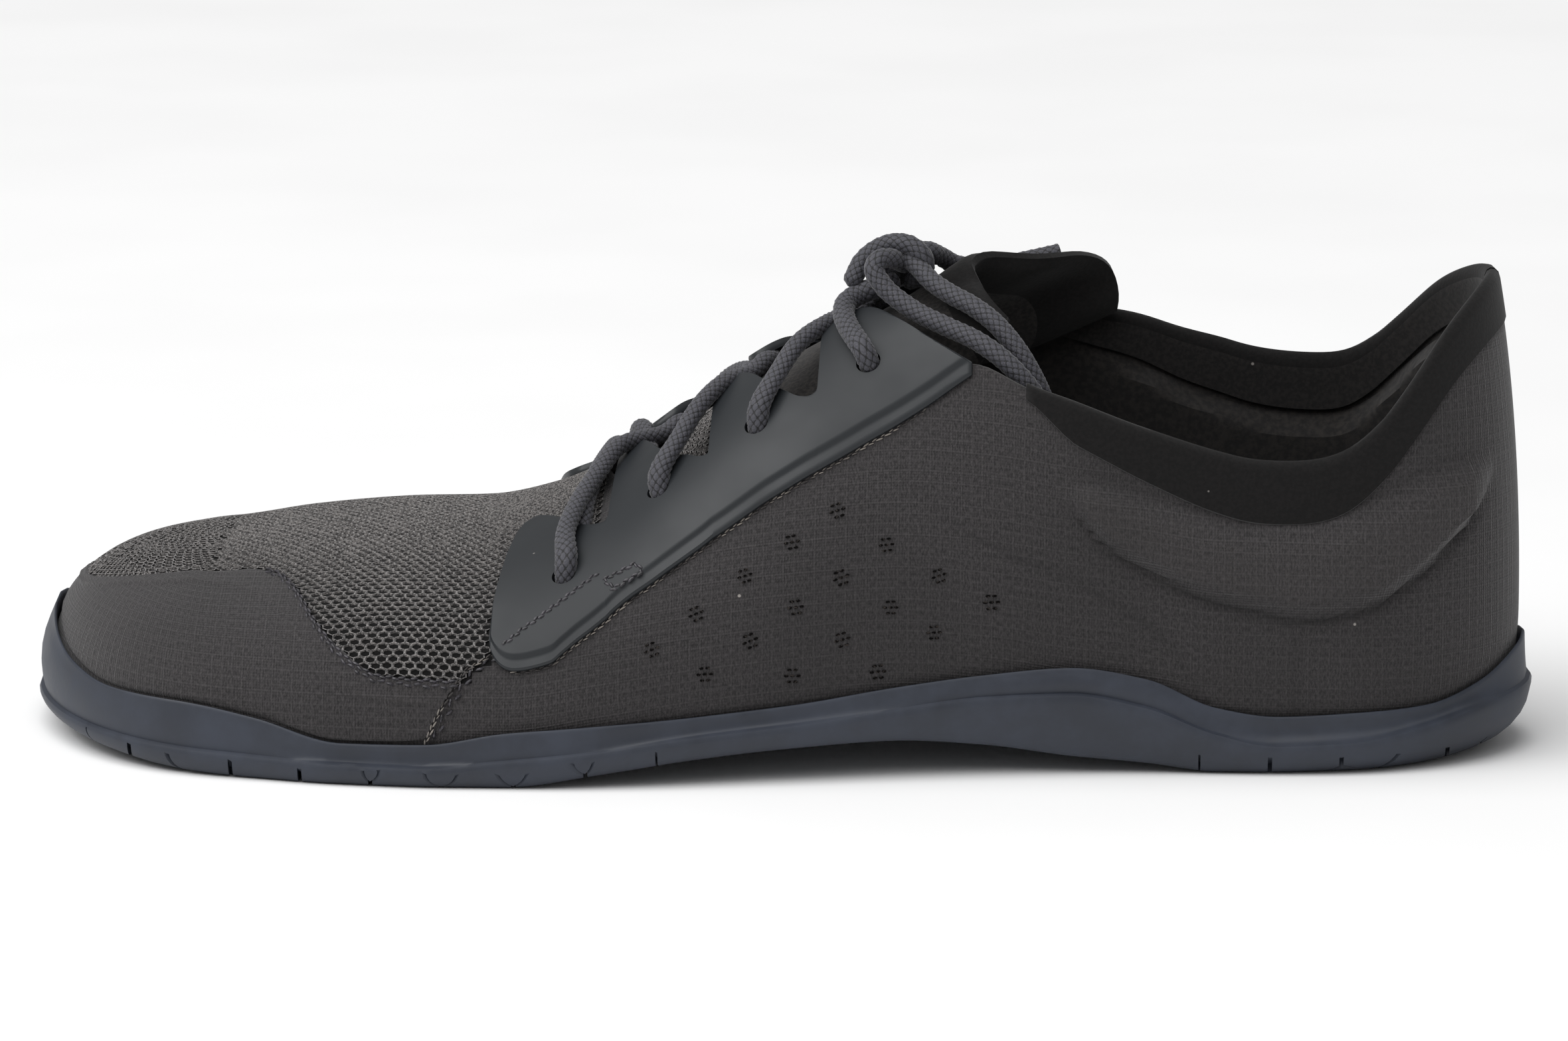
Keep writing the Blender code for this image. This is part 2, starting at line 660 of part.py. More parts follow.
def make_heel_pad(collection, name, side):
    lower, upper = monotone(HEEL_PAD, 1), monotone(HEEL_PAD, 2)
    stations_here = between(HEEL_PAD, 1)
    count = len(stations_here)
    cells = []
    for u in stations_here:
        a, b = lower(u), upper(u)
        cells.append([(side, u, a + (b - a) * k / 4) for k in range(5)])

    def crowned(i, j):
        across = math.sin(math.pi * j / 4)
        along = math.sin(math.pi * i / (count - 1)) ** 0.5
        return TRIM + (PAD - TRIM) * across * along
    mesh = overlay_mesh(name, cells, crowned)
    return add_object(name, mesh, material(name, (0.10, 0.095, 0.09), 0.85), collection)


def make_tongue(collection):
    low, high = [], []
    for share in (0.0, 0.05, 0.12, 0.22, 0.34, 0.46, 0.58, 0.70, 0.80, 0.88, 0.94, 0.98, 1.0):
        under_row, over_row = [], []
        for k in range(-6, 7):
            across = k / 6
            wing = LATERAL if across < 0 else MEDIAL
            border = TONGUE_BORDER[wing](share)
            u = TONGUE_MID(share) + (border - TONGUE_MID(share)) * across ** 2
            side, t = arch(1 + TONGUE_HALF[wing](share) * across)
            drop = WALL + FIT + TONGUE_ROOM * max(0.0, -across) * max(0.0, share - 0.5)
            over_row.append(shoe_point(side, u, t, -drop))
            under_row.append(shoe_point(side, u, t, -drop - TONGUE))
        low.append(under_row)
        high.append(over_row)
    mesh = slab_mesh("tongue", low, high)
    return add_object("tongue", mesh, material("knit", (0.06, 0.06, 0.065), 0.95), collection)


def tube(name, points, collection, sides=2):
    """A round cord along points, as a curve with closed ends."""
    curve = bpy.data.curves.new(name, "CURVE")
    curve.dimensions = "3D"
    curve.resolution_u = 1
    curve.render_resolution_u = 0
    curve.bevel_depth = 0.5 * LACE
    curve.bevel_resolution = sides
    curve.use_fill_caps = True
    spline = curve.splines.new("POLY")
    spline.points.add(len(points) - 1)
    for point, place in zip(spline.points, points):
        point.co = (*place, 1.0)
    obj = bpy.data.objects.new(name, curve)
    collection.objects.link(obj)
    return obj


def as_mesh(obj):
    """Turn a tube into a plain welded mesh object of the same name."""
    graph = bpy.context.evaluated_depsgraph_get()
    mesh = bpy.data.meshes.new_from_object(obj.evaluated_get(graph))
    bm = bmesh.new()
    bm.from_mesh(mesh)
    bmesh.ops.remove_doubles(bm, verts=bm.verts, dist=1e-6)
    bm.to_mesh(mesh)
    bm.free()
    name, home = obj.name, obj.users_collection[0]
    place = obj.matrix_world.copy()
    bpy.data.objects.remove(obj)
    solid = bpy.data.objects.new(name, mesh)
    solid.matrix_world = place
    home.objects.link(solid)
    return solid


def strand_points(start, end, count, rest_from=2.0, rest_at=2.1):
    """Points of a strand from one (u, arch parameter) to another, down onto the tongue midway."""
    points = []
    for k in range(count):
        f = k / (count - 1)
        u = start[0] + (end[0] - start[0]) * f
        w = start[1] + (end[1] - start[1]) * f
        travelled = w if start[1] < 1 else 2 - w
        down = min(max((travelled - rest_from) / (rest_at - rest_from), 0.0), 1.0)
        lift = LACE_LIFT + (LACE_REST - LACE_LIFT) * down * down * (3 - 2 * down)
        points.append(shoe_point(*arch_place(u, w), lift))
    return points


def arch_place(u, w):
    side, t = arch(w)
    return side, u, t


def make_crossing(collection, k):
    """Two strands from one pair of lace holes, over each other towards the next pair."""
    (u, t), (v, _) = EYELETS[k], EYELETS[k + 1]
    rest_from, rest_at, stop, count = STRANDS[k]
    name = f"lace_cross_{k + 1}"
    v -= DIVE_AHEAD
    way = strand_points((u, t), (v + MEDIAL_SHIFT, 2 - stop), count, rest_from, rest_at)
    back = strand_points((u + MEDIAL_SHIFT, 2 - t), (v, stop), count, rest_from, rest_at)
    first = as_mesh(tube(name, way, collection))
    second = as_mesh(tube(name + "_b", back, collection))
    set_as_cutter(second)
    join = first.modifiers.new("join", "BOOLEAN")
    join.operation = "UNION"
    join.solver = "EXACT"
    join.object = second
    first.data.materials.append(material(name, (0.07, 0.08, 0.10), 0.85))
    return first


def make_tail(collection, name, side):
    """The strand from one of the uppermost lace holes to the knot."""
    u, t = EYELETS[3]
    start, end = (shifted(side, u), t), (shifted(side, u) * 0.5 + TAIL_END[0] * 0.5, TAIL_END[1])
    if side == MEDIAL:
        start, end = (start[0], 2 - start[1]), (end[0], 2 - end[1])
    obj = tube(name, strand_points(start, end, 4), collection)
    obj.data.materials.append(material(name, (0.07, 0.08, 0.10), 0.85))
    return obj


def make_knot(collection):
    bpy.ops.mesh.primitive_uv_sphere_add(segments=12, ring_count=8, radius=1.0)
    knot = bpy.context.active_object
    knot.name = "lace_knot"
    knot.data.transform(Matrix.Diagonal((*KNOT_HALF, 1.0)))
    knot.data.transform(Matrix.Rotation(-KNOT_PITCH, 4, "Y"))
    knot.data.transform(Matrix.Translation(KNOT))
    for held in list(knot.users_collection):
        held.objects.unlink(knot)
    collection.objects.link(knot)
    knot.data.materials.append(material("lace_knot", (0.07, 0.08, 0.10), 0.85))
    return knot


def smooth_route(points, step=0.009):
    """Points about step apart on a smooth curve through the given ones."""
    points = [Vector(p) for p in points]
    ends = [2 * points[0] - points[1]] + points + [2 * points[-1] - points[-2]]
    out = []
    for a, b, c, d in zip(ends, ends[1:], ends[2:], ends[3:]):
        count = max(1, round((c - b).length / step))
        for k in range(count):
            f = k / count
            out.append(0.5 * (2 * b + (c - a) * f + (2 * a - 5 * b + 4 * c - d) * f * f
                              + (3 * b - a - 3 * c + d) * f ** 3))
    return out + [points[-1]]


def make_loops(collection):
    for k, route in enumerate(LOOPS):
        obj = tube(f"lace_loop_{k + 1}", smooth_route(route), collection)
        obj.data.materials.append(material(obj.name, (0.07, 0.08, 0.10), 0.85))


def clear_scene():
    for obj in list(bpy.data.objects):
        bpy.data.objects.remove(obj, do_unlink=True)


def main():
    clear_scene()
    parts = bpy.data.collections.new("barefoot_shoe")
    cutters = bpy.data.collections.new("cutters")
    for held in (parts, cutters):
        bpy.context.scene.collection.children.link(held)
    make_outsole(parts)
    make_upper(parts)
    make_insole(parts)
    make_tongue(parts)
    make_eyestay(parts, "eyestay_lateral", LATERAL)
    make_eyestay(parts, "eyestay_medial", MEDIAL)
    make_toe_cap(parts)
    make_collar_band(parts)
    make_heel_pad(parts, "heel_pad_lateral", LATERAL)
    make_heel_pad(parts, "heel_pad_medial", MEDIAL)
    for k in range(3):
        make_crossing(parts, k)
    make_tail(parts, "lace_tail_lateral", LATERAL)
    make_tail(parts, "lace_tail_medial", MEDIAL)
    make_knot(parts)
    make_loops(parts)


main()
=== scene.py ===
"""Barefoot shoe, left foot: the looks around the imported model.

Metres, +Z up. The toe points along -X and the outer (lateral) side faces -Y. Every curved piece is
worked out from one function of the last, skin(side, u, t, lift): side is -1 outer or +1 inner,
u runs from toe to heel, t from the footbed to the ridge, and lift stands out from the cloth.
"""
import math

import bmesh
import bpy
import numpy as np
from bpy.props import FloatProperty, PointerProperty, StringProperty
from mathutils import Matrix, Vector


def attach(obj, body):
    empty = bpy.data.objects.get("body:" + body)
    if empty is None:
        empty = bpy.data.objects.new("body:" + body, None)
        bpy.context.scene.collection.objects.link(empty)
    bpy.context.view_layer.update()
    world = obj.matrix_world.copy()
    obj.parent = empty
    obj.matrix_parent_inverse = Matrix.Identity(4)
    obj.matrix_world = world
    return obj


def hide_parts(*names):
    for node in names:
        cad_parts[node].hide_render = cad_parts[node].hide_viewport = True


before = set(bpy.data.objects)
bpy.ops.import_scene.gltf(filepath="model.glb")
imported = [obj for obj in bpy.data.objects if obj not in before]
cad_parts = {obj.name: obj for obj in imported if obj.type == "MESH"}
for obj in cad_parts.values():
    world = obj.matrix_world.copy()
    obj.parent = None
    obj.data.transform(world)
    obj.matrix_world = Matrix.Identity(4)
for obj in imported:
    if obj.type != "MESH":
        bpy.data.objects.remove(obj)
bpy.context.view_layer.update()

bl_info = {
    "name": "Barefoot Shoe",
    "version": (1, 0, 0),
    "blender": (4, 5, 0),
    "location": "View3D > Sidebar > Shoe",
    "description": "Builds the sole, upper, overlays, tongue and lacing of a barefoot running shoe",
    "category": "Add Mesh",
}

# Sizes of the part, in metres
LENGTH = 0.288
BALL_WIDTH = 0.104
INSTEP_HEIGHT = 0.094
WALL = 0.0018
GAP = 0.0003
SEAT = 0.0007
FIT = 0.0008
RIM_GAP = 0.0009
FLOOR = 0.0045
INSOLE = 0.0030
TONGUE = 0.0030
SIDE_WALL = 0.0026
LIP = 0.0013
STEP = 0.0010
LUG_DEPTH = 0.0016
LUG_GROOVE = 0.0008
OVERLAY = 0.0011
TRIM = 0.0006
PAD = 0.0022
EYELET = 0.0048
MEDIAL_SHIFT = 0.018
TIP_SHIFT = 0.010
TOE_POLE = 0.125
HEEL_POLE = 0.900
TOE_CAP_REACH = 0.16
HEEL_CAP_REACH = 0.13
TOE_FULLNESS = 2.3
HEEL_FULLNESS = 2.2
BELLY_SHARE = 0.18
THROAT_FRONT = 0.385
TONGUE_ROOM = 0.010
TONGUE_STAND = 0.0042
LATERAL, MEDIAL = -1.0, 1.0

# Outline of the sole: station, lateral and medial half widths as shares of BALL_WIDTH
OUTLINE = (
    (0.00, 0.375, 0.405), (0.07, 0.410, 0.443), (0.15, 0.440, 0.461), (0.22, 0.482, 0.487),
    (0.29, 0.499, 0.500), (0.35, 0.499, 0.492), (0.41, 0.484, 0.457), (0.50, 0.437, 0.388),
    (0.59, 0.388, 0.330), (0.67, 0.356, 0.308), (0.76, 0.333, 0.311), (0.85, 0.321, 0.318),
    (0.92, 0.300, 0.303), (1.00, 0.284, 0.284),
)

# Side of the sole: station, underside, ledge, upper edge and inward roll as shares of LENGTH
SOLE_SIDE = (
    (0.000, 0.0110, 0.0265, 0.0760, 0.026), (0.030, 0.0080, 0.0235, 0.0570, 0.022),
    (0.065, 0.0055, 0.0215, 0.0480, 0.018), (0.120, 0.0015, 0.0190, 0.0460, 0.013),
    (0.170, 0.0000, 0.0170, 0.0385, 0.011), (0.225, 0.0000, 0.0150, 0.0262, 0.010),
    (0.280, 0.0000, 0.0145, 0.0270, 0.010), (0.330, 0.0000, 0.0195, 0.0345, 0.010),
    (0.390, 0.0080, 0.0255, 0.0395, 0.010), (0.450, 0.0165, 0.0335, 0.0440, 0.010),
    (0.520, 0.0225, 0.0400, 0.0505, 0.010), (0.580, 0.0250, 0.0475, 0.0592, 0.010),
    (0.640, 0.0205, 0.0545, 0.0662, 0.011), (0.695, 0.0120, 0.0560, 0.0700, 0.012),
    (0.745, 0.0065, 0.0470, 0.0620, 0.013), (0.790, 0.0005, 0.0295, 0.0430, 0.014),
    (0.830, 0.0000, 0.0215, 0.0370, 0.016), (0.880, 0.0000, 0.0235, 0.0390, 0.022),
    (0.930, 0.0000, 0.0320, 0.0415, 0.030), (0.970, 0.0010, 0.0415, 0.0530, 0.037),
    (1.000, 0.0020, 0.0460, 0.0725, 0.042),
)

# Last above the sole: station, ridge height / INSTEP_HEIGHT, ridge offset / BALL_WIDTH,
# squareness of the lateral and medial half arches, belly height and tuck / LENGTH
LAST = (
    (0.000, 0.380, 0.120, 2.30, 2.30, 0.014, 0.0120), (0.060, 0.372, 0.135, 2.30, 2.40, 0.018, 0.0110),
    (0.125, 0.378, 0.150, 2.40, 2.80, 0.022, 0.0100), (0.180, 0.400, 0.160, 2.45, 3.00, 0.022, 0.0090),
    (0.240, 0.418, 0.160, 2.35, 2.90, 0.020, 0.0080), (0.300, 0.428, 0.150, 2.25, 2.70, 0.020, 0.0080),
    (0.345, 0.465, 0.125, 2.15, 2.45, 0.022, 0.0080), (0.390, 0.535, 0.095, 2.05, 2.25, 0.025, 0.0080),
    (0.435, 0.640, 0.060, 2.00, 2.10, 0.028, 0.0080), (0.490, 0.765, 0.030, 1.95, 2.05, 0.032, 0.0085),
    (0.560, 0.888, 0.010, 1.95, 2.05, 0.036, 0.0090), (0.630, 0.995, 0.000, 2.05, 2.10, 0.040, 0.0100),
    (0.700, 1.150, 0.000, 2.15, 2.15, 0.045, 0.0110), (0.800, 1.370, 0.000, 2.20, 2.20, 0.050, 0.0130),
    (0.900, 1.400, 0.000, 2.10, 2.10, 0.060, 0.0190), (1.000, 1.400, 0.000, 2.00, 2.00, 0.070, 0.0240),
)

# Edge of the throat and collar: station, share of the lateral and medial half arch's rise
OPENING = (
    (0.385, 1.000, 1.000), (0.388, 0.992, 0.992), (0.396, 0.950, 0.955), (0.410, 0.890, 0.905),
    (0.440, 0.840, 0.870), (0.500, 0.825, 0.855), (0.560, 0.835, 0.858), (0.590, 0.838, 0.860),
    (0.630, 0.790, 0.836), (0.672, 0.667, 0.760), (0.704, 0.595, 0.695), (0.736, 0.520, 0.630),
    (0.764, 0.470, 0.568), (0.788, 0.440, 0.538), (0.810, 0.422, 0.515), (0.850, 0.415, 0.498),
    (0.875, 0.428, 0.496), (0.900, 0.480, 0.535), (0.925, 0.540, 0.580), (0.950, 0.600, 0.625),
    (1.000, 0.672, 0.672),
)

# Eyestay: station, lower and scalloped upper edge
EYESTAY = (
    (0.3200, 0.438, 0.462), (0.3206, 0.418, 0.500), (0.3220, 0.396, 0.560), (0.3250, 0.372, 0.650),
    (0.3285, 0.355, 0.730), (0.3325, 0.344, 0.788), (0.3370, 0.338, 0.818), (0.3440, 0.336, 0.830),
    (0.3510, 0.337, 0.817), (0.3610, 0.340, 0.785), (0.3680, 0.356, 0.759), (0.3780, 0.378, 0.712),
    (0.3860, 0.392, 0.693), (0.3930, 0.405, 0.685), (0.3952, 0.409, 0.705), (0.3960, 0.410, 0.800),
    (0.3968, 0.412, 0.930), (0.4000, 0.420, 0.968), (0.4110, 0.437, 0.953), (0.4260, 0.450, 0.833),
    (0.4360, 0.460, 0.770), (0.4480, 0.471, 0.726), (0.4560, 0.478, 0.700), (0.4606, 0.483, 0.694),
    (0.4614, 0.484, 0.771), (0.4622, 0.485, 0.880), (0.4640, 0.487, 0.940), (0.4690, 0.490, 0.955),
    (0.4820, 0.500, 0.907), (0.4964, 0.512, 0.816), (0.5105, 0.521, 0.745), (0.5196, 0.527, 0.712),
    (0.5262, 0.531, 0.702), (0.5304, 0.533, 0.708), (0.5314, 0.534, 0.764), (0.5322, 0.534, 0.858),
    (0.5340, 0.535, 0.908), (0.5397, 0.538, 0.925), (0.5519, 0.545, 0.921), (0.5617, 0.551, 0.900),
    (0.5791, 0.561, 0.821), (0.6016, 0.578, 0.723), (0.6192, 0.594, 0.661), (0.6300, 0.602, 0.626),
)
EYELETS = ((0.3680, 0.568), (0.4285, 0.676), (0.4915, 0.692), (0.5635, 0.714))

# Toe cap: station, its edge on the lateral and medial sides; and the welded line below that edge
TOE_CAP = (
    (0.000, 0.540, 0.540), (0.025, 0.610, 0.510), (0.070, 0.690, 0.490), (0.118, 0.735, 0.490),
    (0.150, 0.735, 0.490), (0.173, 0.700, 0.480), (0.188, 0.625, 0.465), (0.200, 0.530, 0.445),
    (0.215, 0.435, 0.410), (0.232, 0.365, 0.375), (0.250, 0.328, 0.340), (0.300, 0.318, 0.325),
)
TOE_WELD = ((0.000, 0.500), (0.050, 0.620), (0.120, 0.680), (0.155, 0.640), (0.175, 0.560),
            (0.190, 0.470), (0.206, 0.375), (0.225, 0.300), (0.246, 0.262), (0.300, 0.250))
TOE_SEAM = ((0.2780, 0.100), (0.2797, 0.153), (0.2841, 0.197), (0.2935, 0.273), (0.3049, 0.353),
            (0.3238, 0.398), (0.3300, 0.430))

KNIT_END = 0.115  # station up to which the knit is closed, so that no black shows between its cells

# Threads: real ripstop has one each 0.2 mm, drawn coarser so that the weave shows
THREAD_SPACING = 0.00055
RIPSTOP_GRID = 0.0020
GRID_SHARPNESS = 26.0
BRAID_PICK = 0.00165
BRAID_YARNS = 8
BRAID_END = 0.0016  # length over which a lace's end grows to its full thickness

# Length of a half arch, near enough for borders: at the collar and at the eyestays
COLLAR_ARCH = 0.095
EYESTAY_ARCH = 0.085
COLLAR_BAND = 0.046  # width of the suede band, as a share of the half arch
COLLAR_FRONT = 0.664
STATION_STEP = 0.004  # step between two stations from which a heading is taken

# Lugs: stations between which they lie, how far past the outline they are cut, and how far the
# grooves climb the rolled edge
LUG_ZONES = ((0.05, 0.41), (0.79, 0.985))
LUG_MARGIN = 0.004
NOTCH_RISE = 0.0022

# Roll inside the collar: its depth, and how far below the edge it begins and ends
ROLL_DEPTH = 0.0042
ROLL_BEGINS, ROLL_ENDS = (0.0046, 0.0066), (0.018, 0.036)

# Heights of small things above the cloth
CELL_STAND = 0.00012
PANEL_SEAT, PANEL_EDGE = 0.00002, 0.00012
FILM_SEAT = 0.00025
SLIT_STAND = 0.00018

# Camera beside the shoe: where the photo was taken from, in degrees and metres
CAMERA_LENS = 168.0
CAMERA_TURN, CAMERA_TILT = 3.0, 12.0
CAMERA_DISTANCE = 1.4
CAMERA_TARGET = (0.0009, 0.0, 0.041)

# Line inside the quarter where its panels are welded together
QUARTER_WELD = ((0.573, 0.509), (0.622, 0.362), (0.656, 0.308), (0.694, 0.270), (0.733, 0.226),
                (0.764, 0.194), (0.777, 0.164), (0.788, 0.120))

# Heel padding: station, lower and upper edge
HEEL_PAD = (
    (0.690, 0.362, 0.374), (0.702, 0.335, 0.376), (0.720, 0.296, 0.362), (0.750, 0.262, 0.332),
    (0.775, 0.244, 0.314), (0.812, 0.228, 0.299), (0.850, 0.217, 0.299), (0.885, 0.222, 0.312),
    (0.915, 0.240, 0.329), (0.940, 0.264, 0.342), (0.968, 0.300, 0.346), (0.982, 0.330, 0.345),
)

# Tongue: share along it, lateral and medial half widths, station in the middle and at the borders
TONGUE_ROWS = (
    (0.00, 0.16, 0.16, 0.372, 0.376, 0.376), (0.10, 0.24, 0.24, 0.395, 0.398, 0.398),
    (0.30, 0.34, 0.34, 0.445, 0.447, 0.448), (0.50, 0.38, 0.38, 0.497, 0.498, 0.502),
    (0.70, 0.39, 0.41, 0.548, 0.556, 0.568), (0.85, 0.37, 0.46, 0.588, 0.614, 0.655),
    (0.95, 0.30, 0.47, 0.612, 0.636, 0.720), (1.00, 0.23, 0.48, 0.624, 0.640, 0.752),
)

# Clusters of perforations on the quarter: station and parameter
PERFORATIONS = (
    (0.544, 0.448), (0.515, 0.418), (0.576, 0.366), (0.485, 0.385), (0.547, 0.331), (0.610, 0.300),
    (0.454, 0.343), (0.518, 0.299), (0.579, 0.265), (0.644, 0.252), (0.426, 0.297), (0.489, 0.257),
    (0.548, 0.226), (0.607, 0.218), (0.460, 0.211), (0.516, 0.173), (0.571, 0.158),
)

# Stitched lines on the outer eyestay: the row near its front and the box at the row's end
EYESTAY_ROW = ((0.3301, 0.408), (0.3426, 0.444), (0.3593, 0.479), (0.3761, 0.509), (0.3907, 0.531))
EYESTAY_BOX = ((0.3949, 0.506), (0.4157, 0.508), (0.4202, 0.480), (0.4018, 0.471), (0.3949, 0.506))

# Lace: strands of each crossing (arch parameters between which they come down onto the tongue and
# at which they end), and free routes in millimetres
STRANDS = ((0.930, 1.000, 0.965), (0.860, 0.970, 0.935), (0.860, 0.970, 0.935))
STRAND_BEND = ((0.016, -0.008), (-0.004, -0.016), (0.000, -0.014))
DIVE_AHEAD = 0.018
KNOT_ARC = ((13.7, -3.5, 87.2), (14.6, -2.5, 89.4), (16.0, -1.5, 91.9), (18.7, -1.0, 94.1),
            (21.8, -1.5, 95.3), (24.9, -2.5, 95.1), (27.2, -3.0, 93.3), (27.7, -2.0, 90.9),
            (26.6, 0.5, 88.6), (24.5, 3.0, 87.4))
KNOT_DROP = ((20.6, 1.0, 90.3), (19.4, 0.2, 88.6), (18.9, -0.8, 86.2), (19.8, -1.5, 84.3))
LOOP_LOW = ((24.3, 1.0, 90.6), (21.9, -3.5, 92.6), (19.4, -6.5, 93.1), (18.3, -8.0, 91.3),
            (19.9, -9.0, 88.7), (22.2, -10.0, 86.6), (26.9, -12.5, 83.9), (32.3, -16.0, 82.0),
            (38.4, -19.5, 79.8), (44.3, -21.6, 75.8), (49.5, -22.0, 69.6), (52.3, -21.8, 63.6))
LOOP_HIGH = ((21.5, 2.2, 91.2), (23.6, -0.6, 92.6), (26.2, -3.4, 91.4), (29.2, -6.5, 88.9),
             (32.9, -9.5, 87.0), (37.1, -12.4, 85.3), (41.6, -15.2, 82.4), (45.9, -17.3, 77.6),
             (49.6, -18.2, 71.2), (52.2, -17.8, 64.4))
LOOP_INNER = ((25.0, 2.4, 92.6), (28.0, 4.5, 92.8), (30.5, 8.5, 91.0), (33.3, 11.2, 89.0),
              (37.2, 13.2, 88.2), (42.0, 14.9, 88.3), (47.5, 16.4, 89.2), (53.0, 17.6, 90.3))
TAIL_OUTER = ((16.8, -20.3, 78.3), (15.1, -16.9, 80.0), (13.7, -13.5, 81.4), (12.7, -9.3, 82.9),
              (13.0, -5.6, 84.4), (15.2, -3.6, 85.7), (18.6, -3.0, 87.0), (21.7, 0.0, 87.5))


def curve(rows, column):
    """A smooth curve through one column of a table that never overshoots its rows."""
    xs = np.array([row[0] for row in rows], float)
    ys = np.array([row[column] for row in rows], float)
    h = np.diff(xs)
    slope = np.diff(ys) / h
    tangent = np.zeros_like(ys)
    for k in range(1, len(xs) - 1):
        if slope[k - 1] * slope[k] > 0:
            a, b = 2 * h[k] + h[k - 1], h[k] + 2 * h[k - 1]
            tangent[k] = (a + b) / (a / slope[k - 1] + b / slope[k])
    tangent[0], tangent[-1] = slope[0], slope[-1]

    def value(x):
        x = np.clip(np.asarray(x, float), xs[0], xs[-1])
        k = np.clip(np.searchsorted(xs, x, side="right") - 1, 0, len(xs) - 2)
        f = (x - xs[k]) / h[k]
        left, right = (1 + 2 * f) * (1 - f) ** 2, f * f * (3 - 2 * f)
        return (left * ys[k] + right * ys[k + 1]
                + h[k] * f * (1 - f) * ((1 - f) * tangent[k] - f * tangent[k + 1]))
    return value


def sided(rows, lateral, medial):
    """One curve for both sides, chosen by the sign of side."""
    outer, inner = curve(rows, lateral), curve(rows, medial)
    return lambda side, u: np.where(np.asarray(side) < 0, outer(u), inner(u))


half_width = sided(OUTLINE, 1, 2)
underside, ledge_z, rim_z, roll_in = (curve(SOLE_SIDE, c) for c in range(1, 5))
ridge_z, ridge_y = curve(LAST, 1), curve(LAST, 2)
square = sided(LAST, 3, 4)
belly_z, tuck_in = curve(LAST, 5), curve(LAST, 6)


def settled(value, start, width=0.011):
    """The same curve behind a station, with its small bends smoothed out as cloth would."""
    u = np.linspace(0, 1, 1001)
    near = np.exp(-0.5 * (np.arange(-40, 41) / (1000 * width)) ** 2)
    rows = {}
    for side in (-1, 1):
        padded = np.pad(value(side, u), 40, mode="edge")
        rows[side] = np.convolve(padded, near / near.sum(), mode="valid")

    def smooth(side, x):
        side, x = np.broadcast_arrays(np.asarray(side, float), np.asarray(x, float))
        soft = np.where(side < 0, np.interp(x, u, rows[-1]), np.interp(x, u, rows[1]))
        share = np.clip((x - start) / 0.03, 0, 1)
        return value(side, x) * (1 - share) + soft * share
    return smooth


opening = settled(sided(OPENING, 1, 2), 0.64)
toe_edge = sided(TOE_CAP, 1, 2)
toe_weld = curve(TOE_WELD, 1)
stay_low, stay_high = curve(EYESTAY, 1), curve(EYESTAY, 2)
pad_low, pad_high = curve(HEEL_PAD, 1), curve(HEEL_PAD, 2)


def smooth_step(x, low, high):
    f = np.clip((np.asarray(x, float) - low) / (high - low), 0, 1)
    return f * f * (3 - 2 * f)


def outline(side, u):
    """Plan points of the sole's widest line."""
    toe = 1 - (1 - np.minimum(u / TOE_CAP_REACH, 1.0)) ** TOE_FULLNESS
    heel = 1 - (1 - np.clip((1 - u) / HEEL_CAP_REACH, 0.0, 1.0)) ** HEEL_FULLNESS
    opened = np.sqrt(np.maximum(0.0, np.minimum(toe, heel)))
    tip = np.where(u < 0.5, TIP_SHIFT, 0.0)
    full = side * half_width(side, u) * BALL_WIDTH
    return np.stack([(u - 0.5) * LENGTH, tip + (full - tip) * opened], axis=-1)


def crown(u):
    c = np.clip(u, TOE_POLE, HEEL_POLE)
    return np.stack([(c - 0.5) * LENGTH, ridge_y(c) * BALL_WIDTH, ridge_z(c) * INSTEP_HEIGHT],
                    axis=-1)


def inward(side, u):
    way = crown(u)[..., :2] - outline(side, u)
    return way / np.maximum(np.linalg.norm(way, axis=-1, keepdims=True), 1e-9)


def footbed(u):
    return underside(u) * LENGTH + FLOOR


def bare(side, u, t):
    """Points of the upper's outer face."""
    side, u, t = np.broadcast_arrays(*(np.asarray(v, float) for v in (side, u, t)))
    low = footbed(u) + GAP
    top = crown(u)
    way = inward(side, u)
    foot = outline(side, u) + way * (SIDE_WALL + GAP)
    belly = low + belly_z(u) * LENGTH
    a = 0.5 * np.pi * np.clip(t / BELLY_SHARE, 0, 1)
    under = foot + way * (tuck_in(u) * LENGTH * (1 - np.sin(a)))[..., None]
    under_z = belly - (belly - low) * np.cos(a)
    b = 0.5 * np.pi * np.clip((t - BELLY_SHARE) / (1 - BELLY_SHARE), 0, 1)
    power = 2 / square(side, u)
    over = (np.maximum(0.0, np.cos(b)) ** power)[..., None]
    plan = top[..., :2] * (1 - over) + foot * over
    z = belly + (top[..., 2] - belly) * np.sin(b) ** power
    below = t < BELLY_SHARE
    return np.concatenate([np.where(below[..., None], under, plan),
                           np.where(below, under_z, z)[..., None]], axis=-1)


def facing(side, u, t):
    """Unit normals of the upper's outer face."""
    e = 0.002
    side, u, t = np.broadcast_arrays(*(np.asarray(v, float) for v in (side, u, t)))
    at_pole = (t > 1 - e) & ((u <= TOE_POLE) | (u >= HEEL_POLE))
    t, u = np.minimum(t, 1 - e), np.clip(u, e, 1 - e)
    across = bare(side, u, np.minimum(t + e, 1)) - bare(side, u, np.maximum(t - e, 0))
    along = bare(side, u + e, t) - bare(side, u - e, t)
    normal = np.cross(along, across) * -side[..., None]
    normal /= np.maximum(np.linalg.norm(normal, axis=-1, keepdims=True), 1e-12)
    return np.where(at_pole[..., None], np.array([0.0, 0.0, 1.0]), normal)


def skin(side, u, t, lift=0.0):
    """Points that stand lift metres outside the upper's outer face."""
    lift = np.asarray(lift, float)
    return bare(side, u, t) + facing(side, u, t) * lift[..., None]


